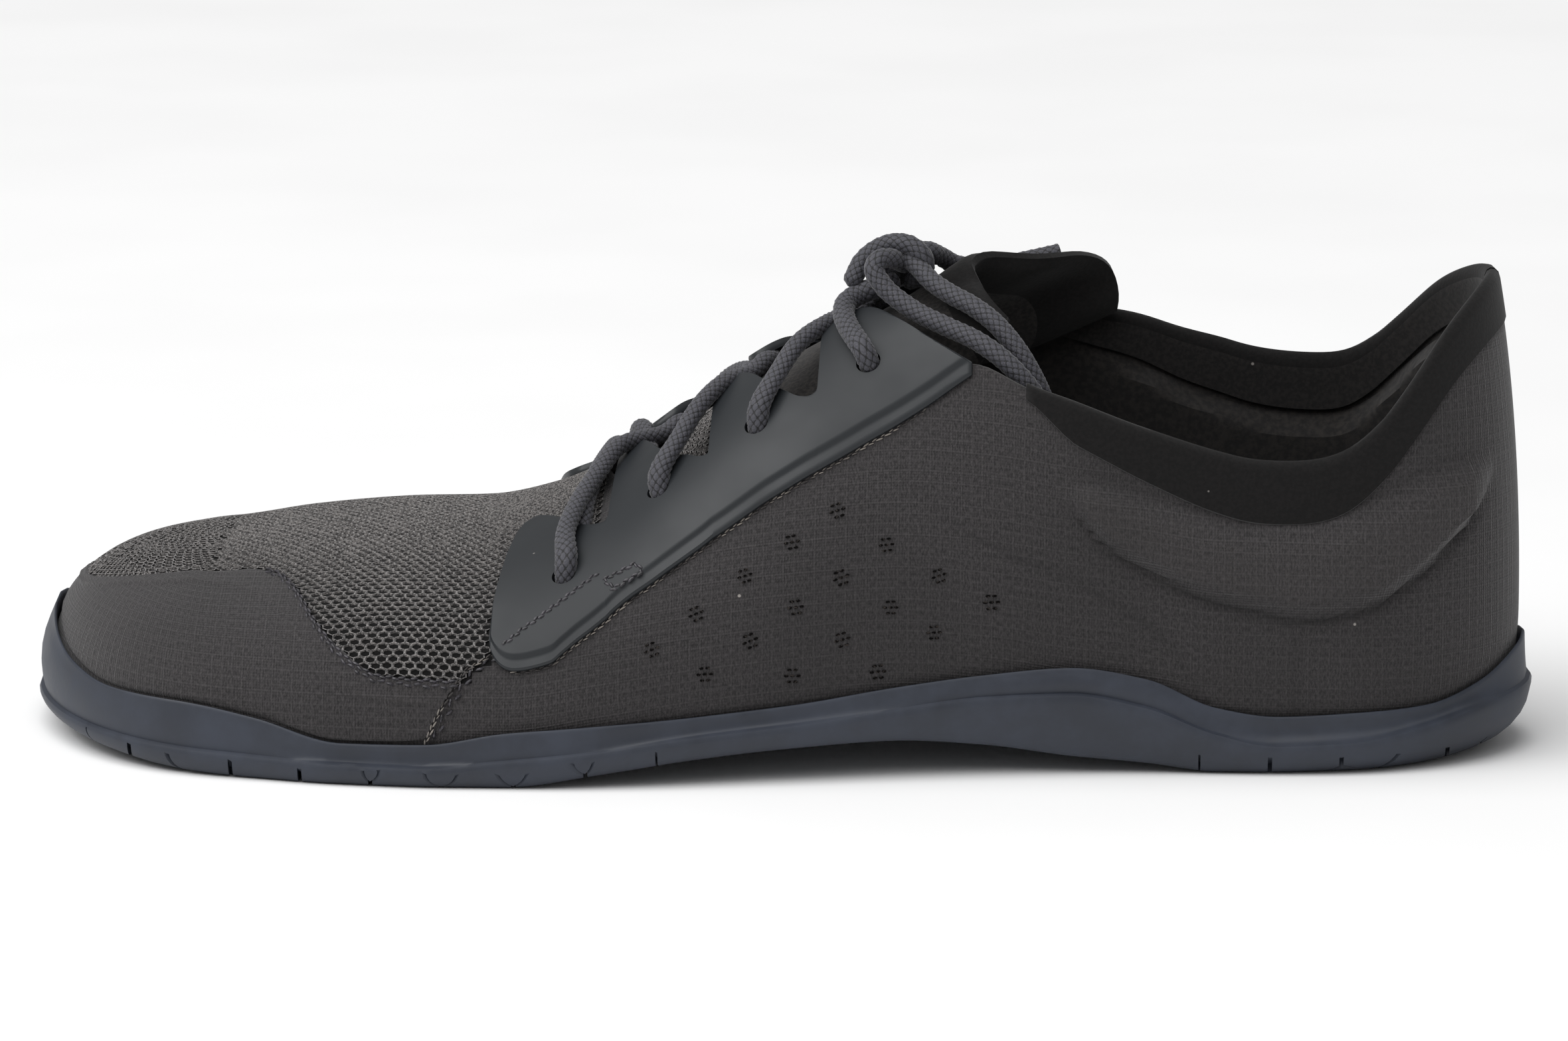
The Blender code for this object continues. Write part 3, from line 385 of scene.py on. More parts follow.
def height_to_t(side, u, z):
    side, u, z = np.broadcast_arrays(*(np.asarray(v, float) for v in (side, u, z)))
    low, high = np.zeros_like(u), np.ones_like(u)
    for _ in range(26):
        mid = 0.5 * (low + high)
        under = bare(side, u, mid)[..., 2] < z
        low, high = np.where(under, mid, low), np.where(under, high, mid)
    return 0.5 * (low + high)


def edge_t(side, u):
    """Parameter of the throat's or collar's edge, or of the ridge in front of the throat."""
    low = footbed(u) + GAP
    share = opening(side, u)
    found = height_to_t(side, u, low + share * (crown(u)[..., 2] - low))
    return np.where((u <= THROAT_FRONT) | (share >= 1.0), 1.0, found)


def arch(w):
    """Side and parameter of an arch parameter: 0 and 2 at the footbed, 1 at the ridge."""
    w = np.asarray(w, float)
    return np.where(w <= 1, LATERAL, MEDIAL), np.where(w <= 1, w, 2 - w)


# Lengths along the cloth, for patterns in real millimetres
GRID_U, GRID_T = np.linspace(0, 1, 241), np.linspace(0, 1, 121)


def cloth_lengths():
    """For each side, the length along the foot at each station and up the wall to each place."""
    tables = {}
    for side in (LATERAL, MEDIAL):
        net = bare(side, GRID_U[:, None], GRID_T[None, :])
        along = np.linalg.norm(np.diff(net[:, 36], axis=0), axis=-1)
        up = np.linalg.norm(np.diff(net, axis=1), axis=-1)
        first = np.concatenate([[0.0], np.cumsum(along)])
        second = np.concatenate([np.zeros((len(GRID_U), 1)), np.cumsum(up, axis=1)], axis=1)
        tables[side] = (first - np.interp(0.5, GRID_U, first), second)
    return tables


CLOTH = cloth_lengths()


def cloth_uv(side, u, t):
    """Cloth coordinates in metres: along the foot, and up the wall from the sole."""
    side, u, t = np.broadcast_arrays(*(np.asarray(v, float) for v in (side, u, t)))
    out = np.zeros(u.shape + (2,))
    for s in (LATERAL, MEDIAL):
        first, second = CLOTH[s]
        x = np.clip(u * (len(GRID_U) - 1), 0, len(GRID_U) - 1.001)
        y = np.clip(t * (len(GRID_T) - 1), 0, len(GRID_T) - 1.001)
        i, j = x.astype(int), y.astype(int)
        f, g = x - i, y - j
        up = ((second[i, j] * (1 - g) + second[i, j + 1] * g) * (1 - f)
              + (second[i + 1, j] * (1 - g) + second[i + 1, j + 1] * g) * f)
        here = np.stack([np.interp(u, GRID_U, first), up], axis=-1)
        out = np.where((side == s)[..., None], here, out)
    return out


def linear(text):
    """Linear RGBA from an sRGB hex value."""
    parts = [int(text.lstrip("#")[k:k + 2], 16) / 255 for k in (0, 2, 4)]
    return tuple(c / 12.92 if c <= 0.04045 else ((c + 0.055) / 1.055) ** 2.4 for c in parts) + (1,)


def add_node(tree, kind, inputs=None, **settings):
    """Add a node with its settings; an input is a value, a hex colour or another node's output."""
    made = tree.nodes.new(kind)
    for name, value in settings.items():
        setattr(made, name, value)
    for name, value in (inputs or {}).items():
        if isinstance(value, bpy.types.NodeSocket):
            tree.links.new(value, made.inputs[name])
        elif isinstance(value, str) and value.startswith("#"):
            made.inputs[name].default_value = linear(value)
        else:
            made.inputs[name].default_value = value
    return made


def new_material(name, **fixed):
    """A material, its tree, its shader with fixed sockets set by name, and the piece's own space."""
    made = bpy.data.materials.new(name)
    made.use_nodes = True
    tree = made.node_tree
    shader = tree.nodes["Principled BSDF"]
    for socket, value in fixed.items():
        shader.inputs[socket.replace("_", " ")].default_value = value
    return made, tree, shader, add_node(tree, "ShaderNodeTexCoord").outputs["Object"]


def colours():
    return bpy.context.scene.shoe_colours


def sizes():
    return bpy.context.scene.shoe_sizes


def waves(tree, coordinate, period, sharp=1.0):
    """Ridges along a coordinate in metres, one each period."""
    turn = add_node(tree, "ShaderNodeMath", {0: coordinate, 1: math.pi / period}, operation="MULTIPLY")
    wave = add_node(tree, "ShaderNodeMath", {0: turn.outputs[0]}, operation="SINE")
    size = add_node(tree, "ShaderNodeMath", {0: wave.outputs[0]}, operation="ABSOLUTE")
    return add_node(tree, "ShaderNodeMath", {0: size.outputs[0], 1: sharp}, operation="POWER").outputs[0]


def tinted(tree, mask, low, high, first, second, least=0.0, most=1.0):
    """From one colour to another, by least to most of the way, as a mask rises from low to high."""
    share = add_node(tree, "ShaderNodeMapRange", {0: mask, 1: low, 2: high, 3: least, 4: most},
                     interpolation_type="SMOOTHSTEP")
    mix = add_node(tree, "ShaderNodeMix", {0: share.outputs[0], 6: first, 7: second},
                   data_type="RGBA")
    return mix.outputs[2]


def lint(tree, space, colour, amount=0.0012):
    """Tiny pale fibres that dark cloth picks up."""
    specks = add_node(tree, "ShaderNodeTexVoronoi", {"Vector": space, "Scale": 520.0}, feature="F1")
    rare = add_node(tree, "ShaderNodeTexWhiteNoise", {"Vector": specks.outputs["Position"]},
                    noise_dimensions="3D")
    near = add_node(tree, "ShaderNodeMapRange",
                    {0: specks.outputs["Distance"], 1: 0.10, 2: 0.20, 3: 1.0, 4: 0.0},
                    interpolation_type="SMOOTHSTEP")
    some = add_node(tree, "ShaderNodeMath", {0: rare.outputs["Value"], 1: 1 - amount},
                    operation="GREATER_THAN")
    speck = add_node(tree, "ShaderNodeMath", {0: near.outputs[0], 1: some.outputs[0]},
                     operation="MULTIPLY")
    mix = add_node(tree, "ShaderNodeMix", {0: speck.outputs[0], 6: colour, 7: "#8f8a86"},
                   data_type="RGBA")
    return mix.outputs[2]


def wire(tree, shader, colour, relief=None, strength=0.0, depth=0.0001):
    """Give the shader its colour and, where there is one, a relief depth metres high."""
    tree.links.new(colour, shader.inputs["Base Color"])
    if relief is not None:
        bump = add_node(tree, "ShaderNodeBump", {"Height": relief, "Strength": strength,
                                                 "Distance": depth})
        tree.links.new(bump.outputs[0], shader.inputs["Normal"])


def ripstop_cloth():
    """Woven nylon ripstop: matt, a fine weave with a raised square grid and a faint melange."""
    made, tree, shader, space = new_material("ripstop_nylon", Roughness=0.82, Sheen_Weight=0.20,
                                             Sheen_Roughness=0.5, Specular_IOR_Level=0.3)
    place = add_node(tree, "ShaderNodeUVMap", uv_map="cloth")
    split = add_node(tree, "ShaderNodeSeparateXYZ", {0: place.outputs[0]})
    warp, weft = (waves(tree, split.outputs[k], THREAD_SPACING) for k in (0, 1))
    grid_a, grid_b = (waves(tree, split.outputs[k], RIPSTOP_GRID, GRID_SHARPNESS) for k in (0, 1))
    grid = add_node(tree, "ShaderNodeMath", {0: grid_a, 1: grid_b}, operation="MAXIMUM")
    weave = add_node(tree, "ShaderNodeMath", {0: warp, 1: weft}, operation="MULTIPLY")
    stretch = add_node(tree, "ShaderNodeMapping", {"Vector": place.outputs[0],
                                                   "Scale": (3000, 1100, 1)})
    streak = add_node(tree, "ShaderNodeTexNoise", {"Vector": stretch.outputs[0], "Scale": 1.0,
                                                   "Detail": 3.0, "Roughness": 0.7})
    cloud = add_node(tree, "ShaderNodeTexNoise", {"Vector": space, "Scale": 28.0, "Detail": 2.0})
    wear = add_node(tree, "ShaderNodeAttribute", attribute_name="wear")
    base = tinted(tree, streak.outputs["Fac"], 0.30, 0.72, colours().cloth_dark,
                  colours().cloth_light)
    base = tinted(tree, grid.outputs[0], 0.2, 1.0, base, "#504d4e", 0.0, 0.17)
    base = tinted(tree, cloud.outputs["Fac"], 0.35, 0.70, base, "#181717", 0.0, 0.25)
    # Painted shade and painted light: the attribute darkens the cloth in the creases of the heel pad,
    # along the weld grooves and below the toe weld, and lightens the pad's dome and the toe weld's ridge;
    # it also darkens the closed knit towards the open mesh.
    base = tinted(tree, wear.outputs["Fac"], 0.0, -1.0, base, "#050505")
    base = tinted(tree, wear.outputs["Fac"], 0.0, 1.0, base, "#6a6562")
    raised = add_node(tree, "ShaderNodeMath", {0: grid.outputs[0], 1: weave.outputs[0]},
                      operation="ADD")
    rough = add_node(tree, "ShaderNodeMath", {0: raised.outputs[0], 1: streak.outputs["Fac"]},
                     operation="ADD")
    wire(tree, shader, lint(tree, space, base), rough.outputs[0], 0.5, 0.00015)
    return made


def spacer_yarn():
    """Knitted polyester spacer mesh: bundles of fine shiny filaments."""
    made, tree, shader, space = new_material("spacer_mesh_yarn", Roughness=0.62, Sheen_Weight=0.9,
                                             Sheen_Roughness=0.35, IOR=1.5)
    strands = add_node(tree, "ShaderNodeTexNoise", {"Vector": space, "Scale": 2600.0, "Detail": 2.0})
    base = tinted(tree, strands.outputs["Fac"], 0.35, 0.68, "#2c2a2a", colours().mesh_yarn)
    wire(tree, shader, base, strands.outputs["Fac"], 0.4)
    return made


def fuzzy_cloth(name, dark, light, scale, sheen, depth=0.00015):
    """Brushed or felted cloth: soft, without highlights, and mottled by its fibres."""
    made, tree, shader, space = new_material(name, Roughness=0.95, Sheen_Weight=sheen,
                                             Sheen_Roughness=0.6, Specular_IOR_Level=0.2)
    fibres = add_node(tree, "ShaderNodeTexNoise", {"Vector": space, "Scale": scale, "Detail": 5.0})
    base = tinted(tree, fibres.outputs["Fac"], 0.36, 0.66, dark, light)
    wire(tree, shader, lint(tree, space, base, 0.0016), fibres.outputs["Fac"], 0.5, depth)
    return made


def satin_moulding(name, colour, stained, grain, stain, spread, gloss, specks, relief, **fixed):
    """Moulded rubber or plastic: satin, finely grained, its colour and gloss changed by stains."""
    made, tree, shader, space = new_material(name, **fixed)
    fine = add_node(tree, "ShaderNodeTexNoise", {"Vector": space, "Scale": grain, "Detail": 2.0})
    stains = add_node(tree, "ShaderNodeTexNoise", {"Vector": space, **stain})
    base = tinted(tree, stains.outputs["Fac"], *spread, colour, stained)
    rough = add_node(tree, "ShaderNodeMapRange",
                     {0: stains.outputs["Fac"], 1: 0.3, 2: 0.7, 3: gloss[0], 4: gloss[1]},
                     interpolation_type="SMOOTHSTEP")
    tree.links.new(rough.outputs[0], shader.inputs["Roughness"])
    wire(tree, shader, lint(tree, space, base, specks), fine.outputs["Fac"], relief)
    return made


def moulded_film():
    """Moulded thermoplastic polyurethane: a thin smooth film, satin, with a faint orange peel."""
    return satin_moulding("moulded_polyurethane_film", colours().film, "#1f2225", grain=900.0,
                          stain={"Scale": 45.0, "Detail": 3.0}, spread=(0.3, 0.7),
                          gloss=(0.42, 0.56), specks=0.0006, relief=0.12, IOR=1.5,
                          Specular_IOR_Level=0.4)


def moulded_rubber():
    """Compression moulded rubber: slate, satin, a little dusty, with a fine spark-eroded grain."""
    return satin_moulding("moulded_rubber", colours().rubber, "#333843", grain=1500.0,
                          stain={"Scale": 60.0, "Detail": 5.0, "Roughness": 0.65},
                          spread=(0.32, 0.72), gloss=(0.46, 0.60), specks=0.0010, relief=0.15,
                          IOR=1.52, Specular_IOR_Level=0.42)


def braided_polyester():
    """Round braided polyester lace: plaited yarns, each a bundle of glossy filaments; painted shade
    darkens the grooves between the yarns and lighter flecks are painted glints.
    """
    made, tree, shader, space = new_material("braided_polyester", Roughness=0.70,
                                             Sheen_Weight=0.25, Sheen_Roughness=0.4, IOR=1.5)
    place = add_node(tree, "ShaderNodeUVMap", uv_map="braid")
    split = add_node(tree, "ShaderNodeSeparateXYZ", {0: place.outputs[0]})
    plait = []
    for way in ("ADD", "SUBTRACT"):
        across = add_node(tree, "ShaderNodeMath", {0: split.outputs[0], 1: split.outputs[1]},
                          operation=way)
        plait.append(waves(tree, across.outputs[0], 1.0, 0.7))
    yarn = add_node(tree, "ShaderNodeMath", dict(enumerate(plait)), operation="MULTIPLY")
    fibre_glints = add_node(tree, "ShaderNodeTexNoise", {"Vector": space, "Scale": 3000.0, "Detail": 2.0})
    base = tinted(tree, yarn.outputs[0], 0.05, 0.60, "#060608", colours().lace)
    base = tinted(tree, fibre_glints.outputs["Fac"], 0.52, 0.75, base, "#5a575c", 0.0, 0.55)
    both = add_node(tree, "ShaderNodeMath", {0: yarn.outputs[0], 1: 0.25, 2: fibre_glints.outputs["Fac"]},
                    operation="MULTIPLY_ADD")
    wire(tree, shader, base, both.outputs[0], 0.7, 0.00025)
    return made


def flecked(name, scale, low, high, dark, light, **fixed):
    """A small plain piece, flecked with a second colour."""
    made, tree, shader, space = new_material(name, **fixed)
    fleck = add_node(tree, "ShaderNodeTexNoise", {"Vector": space, "Scale": scale})
    wire(tree, shader, tinted(tree, fleck.outputs["Fac"], low, high, dark, light))
    return made


def polyester_thread():
    """Bonded polyester sewing thread: near black with a slight gloss, its lighter flecks painted glints.
    """
    return flecked("polyester_thread", 1800.0, 0.35, 0.65, "#17161a", "#3f3c42", Roughness=0.45,
                   IOR=1.5)


def punched_hole():
    """Inside of a cut slit: dark and without highlights."""
    return flecked("cut_slit", 2500.0, 0.50, 0.62, "#0a0909", "#35312f", Roughness=1.0,
                   Specular_IOR_Level=0.05)


def frayed_yarn():
    """Loose pale yarn ends where the cloth was cut beside the film."""
    return flecked("frayed_yarn", 220.0, 0.42, 0.60, "#2f2b2a", "#857e77", Roughness=0.9,
                   Sheen_Weight=0.3)


FINISHES = {
    "ripstop": (ripstop_cloth, "shell_cloth"),
    "yarn": (spacer_yarn, "shell_cloth"),
    "lining": (lambda: fuzzy_cloth("lining_jersey", "#0f0d0d", "#211e1c", 900.0, 0.16),
               "collar_suede"),
    # Painted light: a lighter copy of the suede for the collar band's inner face.
    "inner_suede_lit": (lambda: fuzzy_cloth("brushed_microfibre", "#0d0b0b", "#1e1b1a", 1300.0, 0.16),
            "collar_suede"),
    "backing": (lambda: fuzzy_cloth("mesh_backing", "#040404", "#0c0b0b", 900.0, 0.05),
                "shell_cloth"),
    "suede": (lambda: fuzzy_cloth("microfibre_suede", colours().suede, "#0f0d0d", 1500.0, 0.10),
              "collar_suede"),
    "felt": (lambda: fuzzy_cloth("felted_knit", "#141212", colours().felt, 1300.0, 0.15, 0.0003),
             "tongue_knit"),
    "film": (moulded_film, "eyestay_film"),
    "rubber": (moulded_rubber, "sole_rubber"),
    "braid": (braided_polyester, "lace_braid"),
    "thread": (polyester_thread, "shell_cloth"),
    "hole": (punched_hole, "shell_cloth"),
    "fray": (frayed_yarn, "shell_cloth"),
    "foam": (lambda: fuzzy_cloth("footbed_knit", "#121213", "#1f1f21", 800.0, 0.2), "footbed_foam"),
}
MADE = {}


def finish_of(name):
    if name not in MADE:
        MADE[name] = FINISHES[name][0]()
    return MADE[name]


def place_piece(name, mesh, finishes, *replaced, smooth_angle=38.0):
    """Link a finished mesh to the scene, ride it on the part and hide the solids it stands for."""
    piece = bpy.data.objects.new(name, mesh)
    bpy.context.scene.collection.objects.link(piece)
    if not mesh.materials:
        for finish in finishes:
            mesh.materials.append(finish_of(finish))
    mesh.shade_smooth()
    mesh.set_sharp_from_angle(angle=math.radians(smooth_angle))
    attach(piece, "root")
    if replaced:
        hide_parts(*replaced)
    return piece


def net_mesh(name, points, uv=None, index=None, skip=None, wear=None):
    """A mesh over a grid of points: cloth coordinates, a finish for each face, gaps and a per-vertex
    value of painted shading and tone.
    """
    rows, columns = points.shape[:2]
    bm = bmesh.new()
    shade_tone = bm.verts.layers.float.new("wear") if wear is not None else None
    verts = [[bm.verts.new(p) for p in row] for row in points.tolist()]
    if wear is not None:
        for line, values in zip(verts, wear.tolist()):
            for vert, value in zip(line, values):
                vert[shade_tone] = value
    layer = bm.loops.layers.uv.new("cloth")
    for i in range(rows - 1):
        for j in range(columns - 1):
            if skip is not None and skip[i, j]:
                continue
            corners = ((i, j), (i + 1, j), (i + 1, j + 1), (i, j + 1))
            face = bm.faces.new([verts[a][b] for a, b in corners])
            if index is not None:
                face.material_index = int(index[i, j])
            if uv is not None:
                for loop, (a, b) in zip(face.loops, corners):
                    loop[layer].uv = uv[a, b]
    return close_mesh(name, bm)


def close_mesh(name, bm, tidy=True):
    bmesh.ops.remove_doubles(bm, verts=bm.verts, dist=1e-6)
    loose = [v for v in bm.verts if not v.link_faces]
    bmesh.ops.delete(bm, geom=loose, context="VERTS")
    if tidy:
        bmesh.ops.recalc_face_normals(bm, faces=bm.faces)
    mesh = bpy.data.meshes.new(name)
    bm.to_mesh(mesh)
    bm.free()
    return mesh


def slab(name, side, u, t, low, high, finish, *replaced, index=None, wear=None):
    """A closed sheet over a grid of (side, u, t) between two lifts, its border rounded."""
    side, u, t, low, high = np.broadcast_arrays(*(np.asarray(v, float) for v in
                                                  (side, u, t, low, high)))
    mid = 0.5 * (low + high)
    top, base, rim = skin(side, u, t, high), skin(side, u, t, low), skin(side, u, t, mid)
    uv = cloth_uv(side, u, t)

    def wrapped(upper, under, border):
        return np.concatenate([border[:, :1], upper, border[:, -1:], under[:, ::-1],
                               border[:, :1]], axis=1)
    first, last = slice(0, 1), slice(-1, None)
    points = np.concatenate([wrapped(rim[first], rim[first], rim[first]), wrapped(top, base, rim),
                             wrapped(rim[last], rim[last], rim[last])])
    coords = wrapped(uv, uv, uv)
    coords = np.concatenate([coords[first], coords, coords[last]])
    count = top.shape[1]
    face_index = None
    if index is not None:
        face_index = np.zeros((points.shape[0], points.shape[1]), int)
        face_index[1:-1, 1:1 + count] = index
        face_index[1:-1, 2 + count:2 + 2 * count] = index[:, ::-1]
        face_index[0], face_index[-1] = face_index[1], face_index[-2]
    shade_tone = None
    if wear is not None:
        shade_tone = np.zeros(points.shape[:2])
        shade_tone[1:-1, 1:1 + count] = wear
    mesh = net_mesh(name, points, coords, face_index, wear=shade_tone)
    return place_piece(name, mesh, finish if isinstance(finish, tuple) else (finish,), *replaced)


def eased(count, ends):
    """Shares from 0 to 1, closer together near both ends."""
    x = np.linspace(-1, 1, count)
    return 0.5 + 0.5 * np.sign(x) * (1 - (1 - np.abs(x)) ** ends)


def around(count, closed=False):
    """Columns all the way round the shoe, closer together at toe and heel, the first one again."""
    u = 0.5 - 0.5 * np.cos(np.pi * np.linspace(0, 1, count))
    u = 0.55 * u + 0.45 * np.linspace(0, 1, count)
    side, u = np.repeat((LATERAL, MEDIAL), count), np.concatenate([u, u[::-1]])
    return (np.append(side, side[0]), np.append(u, u[0])) if closed else (side, u)


class SHOE_OT_moulded_sole(bpy.types.Operator):
    """Cup sole: side wall with its step line, rolled edge, arch, toe spring and hexagonal lugs"""
    bl_idname = "shoe.moulded_sole"
    bl_label = "Moulded sole"

    def execute(self, context):
        side, u = around(210)
        way, edge, top = inward(side, u), outline(side, u), crown(u)
        pole = np.clip(u, TOE_POLE, HEEL_POLE)
        under, ledge, rim = underside(u) * LENGTH, ledge_z(u) * LENGTH, rim_z(u) * LENGTH
        roll = roll_in(u) * LENGTH

        def at(inset, z):
            plan = edge + way * np.broadcast_to(inset, u.shape)[:, None]
            return np.concatenate([plan, np.broadcast_to(z, u.shape)[:, None]], axis=1)
        rows = [np.column_stack([top[:, :2], underside(pole) * LENGTH])]
        flat = at(roll, under)
        rows += [rows[0] * (1 - f) + flat * f for f in (0.35, 0.7)] + [flat]
        for degrees in (12, 24, 36, 48, 60, 72, 84):
            a = math.radians(degrees)
            z = ledge - STEP - (ledge - STEP - under) * math.cos(a)
            rows.append(at(roll * (1 - math.sin(a)), z))
        rows += [at(0.0, ledge - STEP), at(0.25 * STEP, ledge - 0.35 * STEP), at(STEP, ledge)]
        rim_t = height_to_t(side, u, rim)
        mid_t = height_to_t(side, u, 0.5 * (rim + ledge))
        low, mid = at(STEP, ledge), skin(side, u, mid_t, GAP + 0.5 * (LIP + SIDE_WALL))
        high = skin(side, u, rim_t, GAP + LIP)
        for s in (0.12, 0.3, 0.5, 0.7, 0.88, 1.0):
            rows.append(low * (1 - s) * (1 - 2 * s) + mid * 4 * s * (1 - s) + high * s * (2 * s - 1))
        for a in (35, 70, 110, 145, 180):
            out = 0.5 + 0.5 * math.cos(math.radians(a))
            rise = np.zeros((len(u), 3))
            rise[:, 2] = 0.5 * LIP * math.sin(math.radians(a))
            rows.append(skin(side, u, rim_t, RIM_GAP + (LIP - RIM_GAP + GAP) * out) + rise)
        for share in (0.75, 0.5, 0.25, 0.0):
            rows.append(skin(side, u, rim_t * share, GAP))
        rows.append(np.column_stack([top[:, :2], footbed(pole)]))
        points = np.stack(rows, axis=1)
        points = np.concatenate([points, points[:1]])
        points = np.concatenate([points, points[:, :1]], axis=1)
        mesh = net_mesh("outsole_rubber", points)
        sole = bpy.data.objects.new("outsole_rubber", mesh)
        net = bpy.data.objects.new("lug_net", self.lug_net())
        for item in (sole, net):
            context.scene.collection.objects.link(item)
        cut = sole.modifiers.new("grooves", "BOOLEAN")
        cut.object, cut.operation, cut.solver = net, "DIFFERENCE", "EXACT"
        cut_mesh = bake(sole)
        bpy.data.objects.remove(net)
        bpy.data.objects.remove(sole)
        place_piece("outsole_rubber", cut_mesh, ("rubber",), "outsole", smooth_angle=30.0)
        return {"FINISHED"}

    def lug_net(self):
        """Grooves between the lugs, following the rolled edge so that they notch the side."""
        pitch = sizes().lug_pitch
        outer, inner = pitch / math.sqrt(3), (pitch - LUG_GROOVE) / math.sqrt(3)
        bm = bmesh.new()
        corners = [math.radians(60 * k + 30) for k in range(6)]
        for row in range(-6, 7):
            for column in range(-13, 14):
                x, y = (column + 0.5 * (row % 2)) * pitch, row * 1.5 * outer
                u = x / LENGTH + 0.5
                if not any(first < u < last for first, last in LUG_ZONES):
                    continue
                low, high = outline(LATERAL, u)[1] - LUG_MARGIN, outline(MEDIAL, u)[1] + LUG_MARGIN
                if not low < y < high:
                    continue
                wide, slim = ([bm.verts.new((x + r * math.cos(a), y + r * math.sin(a), 0))
                               for a in corners] for r in (outer, inner))
                for k in range(6):
                    n = (k + 1) % 6
                    bm.faces.new((wide[k], wide[n], slim[n], slim[k]))
        bmesh.ops.remove_doubles(bm, verts=bm.verts, dist=1e-5)
        bmesh.ops.subdivide_edges(bm, edges=[e for e in bm.edges if e.calc_length() > 0.004],
                                  cuts=2, use_grid_fill=True)
        ring_side, ring_u = around(160)
        ring = outline(ring_side, ring_u)
        for vert in bm.verts:
            x, y = vert.co.x, vert.co.y
            u = min(max(x / LENGTH + 0.5, 0.0), 1.0)
            gap = float(np.min(np.hypot(ring[:, 0] - x, ring[:, 1] - y)))
            inside = outline(LATERAL, u)[1] < y < outline(MEDIAL, u)[1]
            roll, low, ledge = (float(of(u)) * LENGTH for of in (roll_in, underside, ledge_z))
            lean = 1 - min(gap if inside else 0.0, roll) / roll
            rise = (ledge - low) * (1 - math.sqrt(max(0.0, 1 - lean * lean)))
            vert.co.z = low + LUG_DEPTH + min(rise, NOTCH_RISE)
        grown = bmesh.ops.extrude_face_region(bm, geom=bm.faces[:], use_keep_orig=True)
        for item in grown["geom"]:
            if isinstance(item, bmesh.types.BMVert):
                item.co.z = -0.004
        return close_mesh("lug_net", bm)


def bake(piece):
    """The piece's mesh with its modifiers applied."""
    graph = bpy.context.evaluated_depsgraph_get()
    graph.update()
    return bpy.data.meshes.new_from_object(piece.evaluated_get(graph))


def heel_relief(u, t):
    """Lift of the padding that shows through the cloth beside the heel, and its creases; also painted
    shade in the creases below and above the pad and painted light on its dome.
    """
    low, high = pad_low(u), pad_high(u)
    across = (t - low) / np.maximum(high - low, 0.02)
    along = smooth_step(u, 0.688, 0.712) * (1 - smooth_step(u, 0.958, 0.984))
    dome = smooth_step(across, -0.02, 0.20) * (1 - smooth_step(across, 0.62, 1.05))
    under = np.exp(-((t - low + 0.003) / 0.0055) ** 2)
    over = np.exp(-((t - high - 0.004) / 0.006) ** 2)
    lift = along * (1.05 * PAD * dome - 0.00055 * under - 0.0003 * over)
    return lift, along * (-0.50 * under - 0.22 * over + 0.12 * dome)


def quarter_relief(u, t):
    """Faint steps where the panels inside the quarter are welded together, and painted shade along their
    grooves.
    """
    us, ts = np.array(QUARTER_WELD).T
    line = np.interp(u, us, ts)
    near = np.exp(-((t - line) / 0.006) ** 2) * (u > 0.575) * (u < 0.786)
    step = smooth_step(t - line, -0.004, 0.004) * smooth_step(u, 0.575, 0.60)
    back = np.exp(-((u - 0.843) / 0.003) ** 2) * (t < 0.205) * smooth_step(t, 0.05, 0.10)
    return 0.00015 * step - 0.00022 * near - 0.00022 * back, -0.35 * near - 0.3 * back


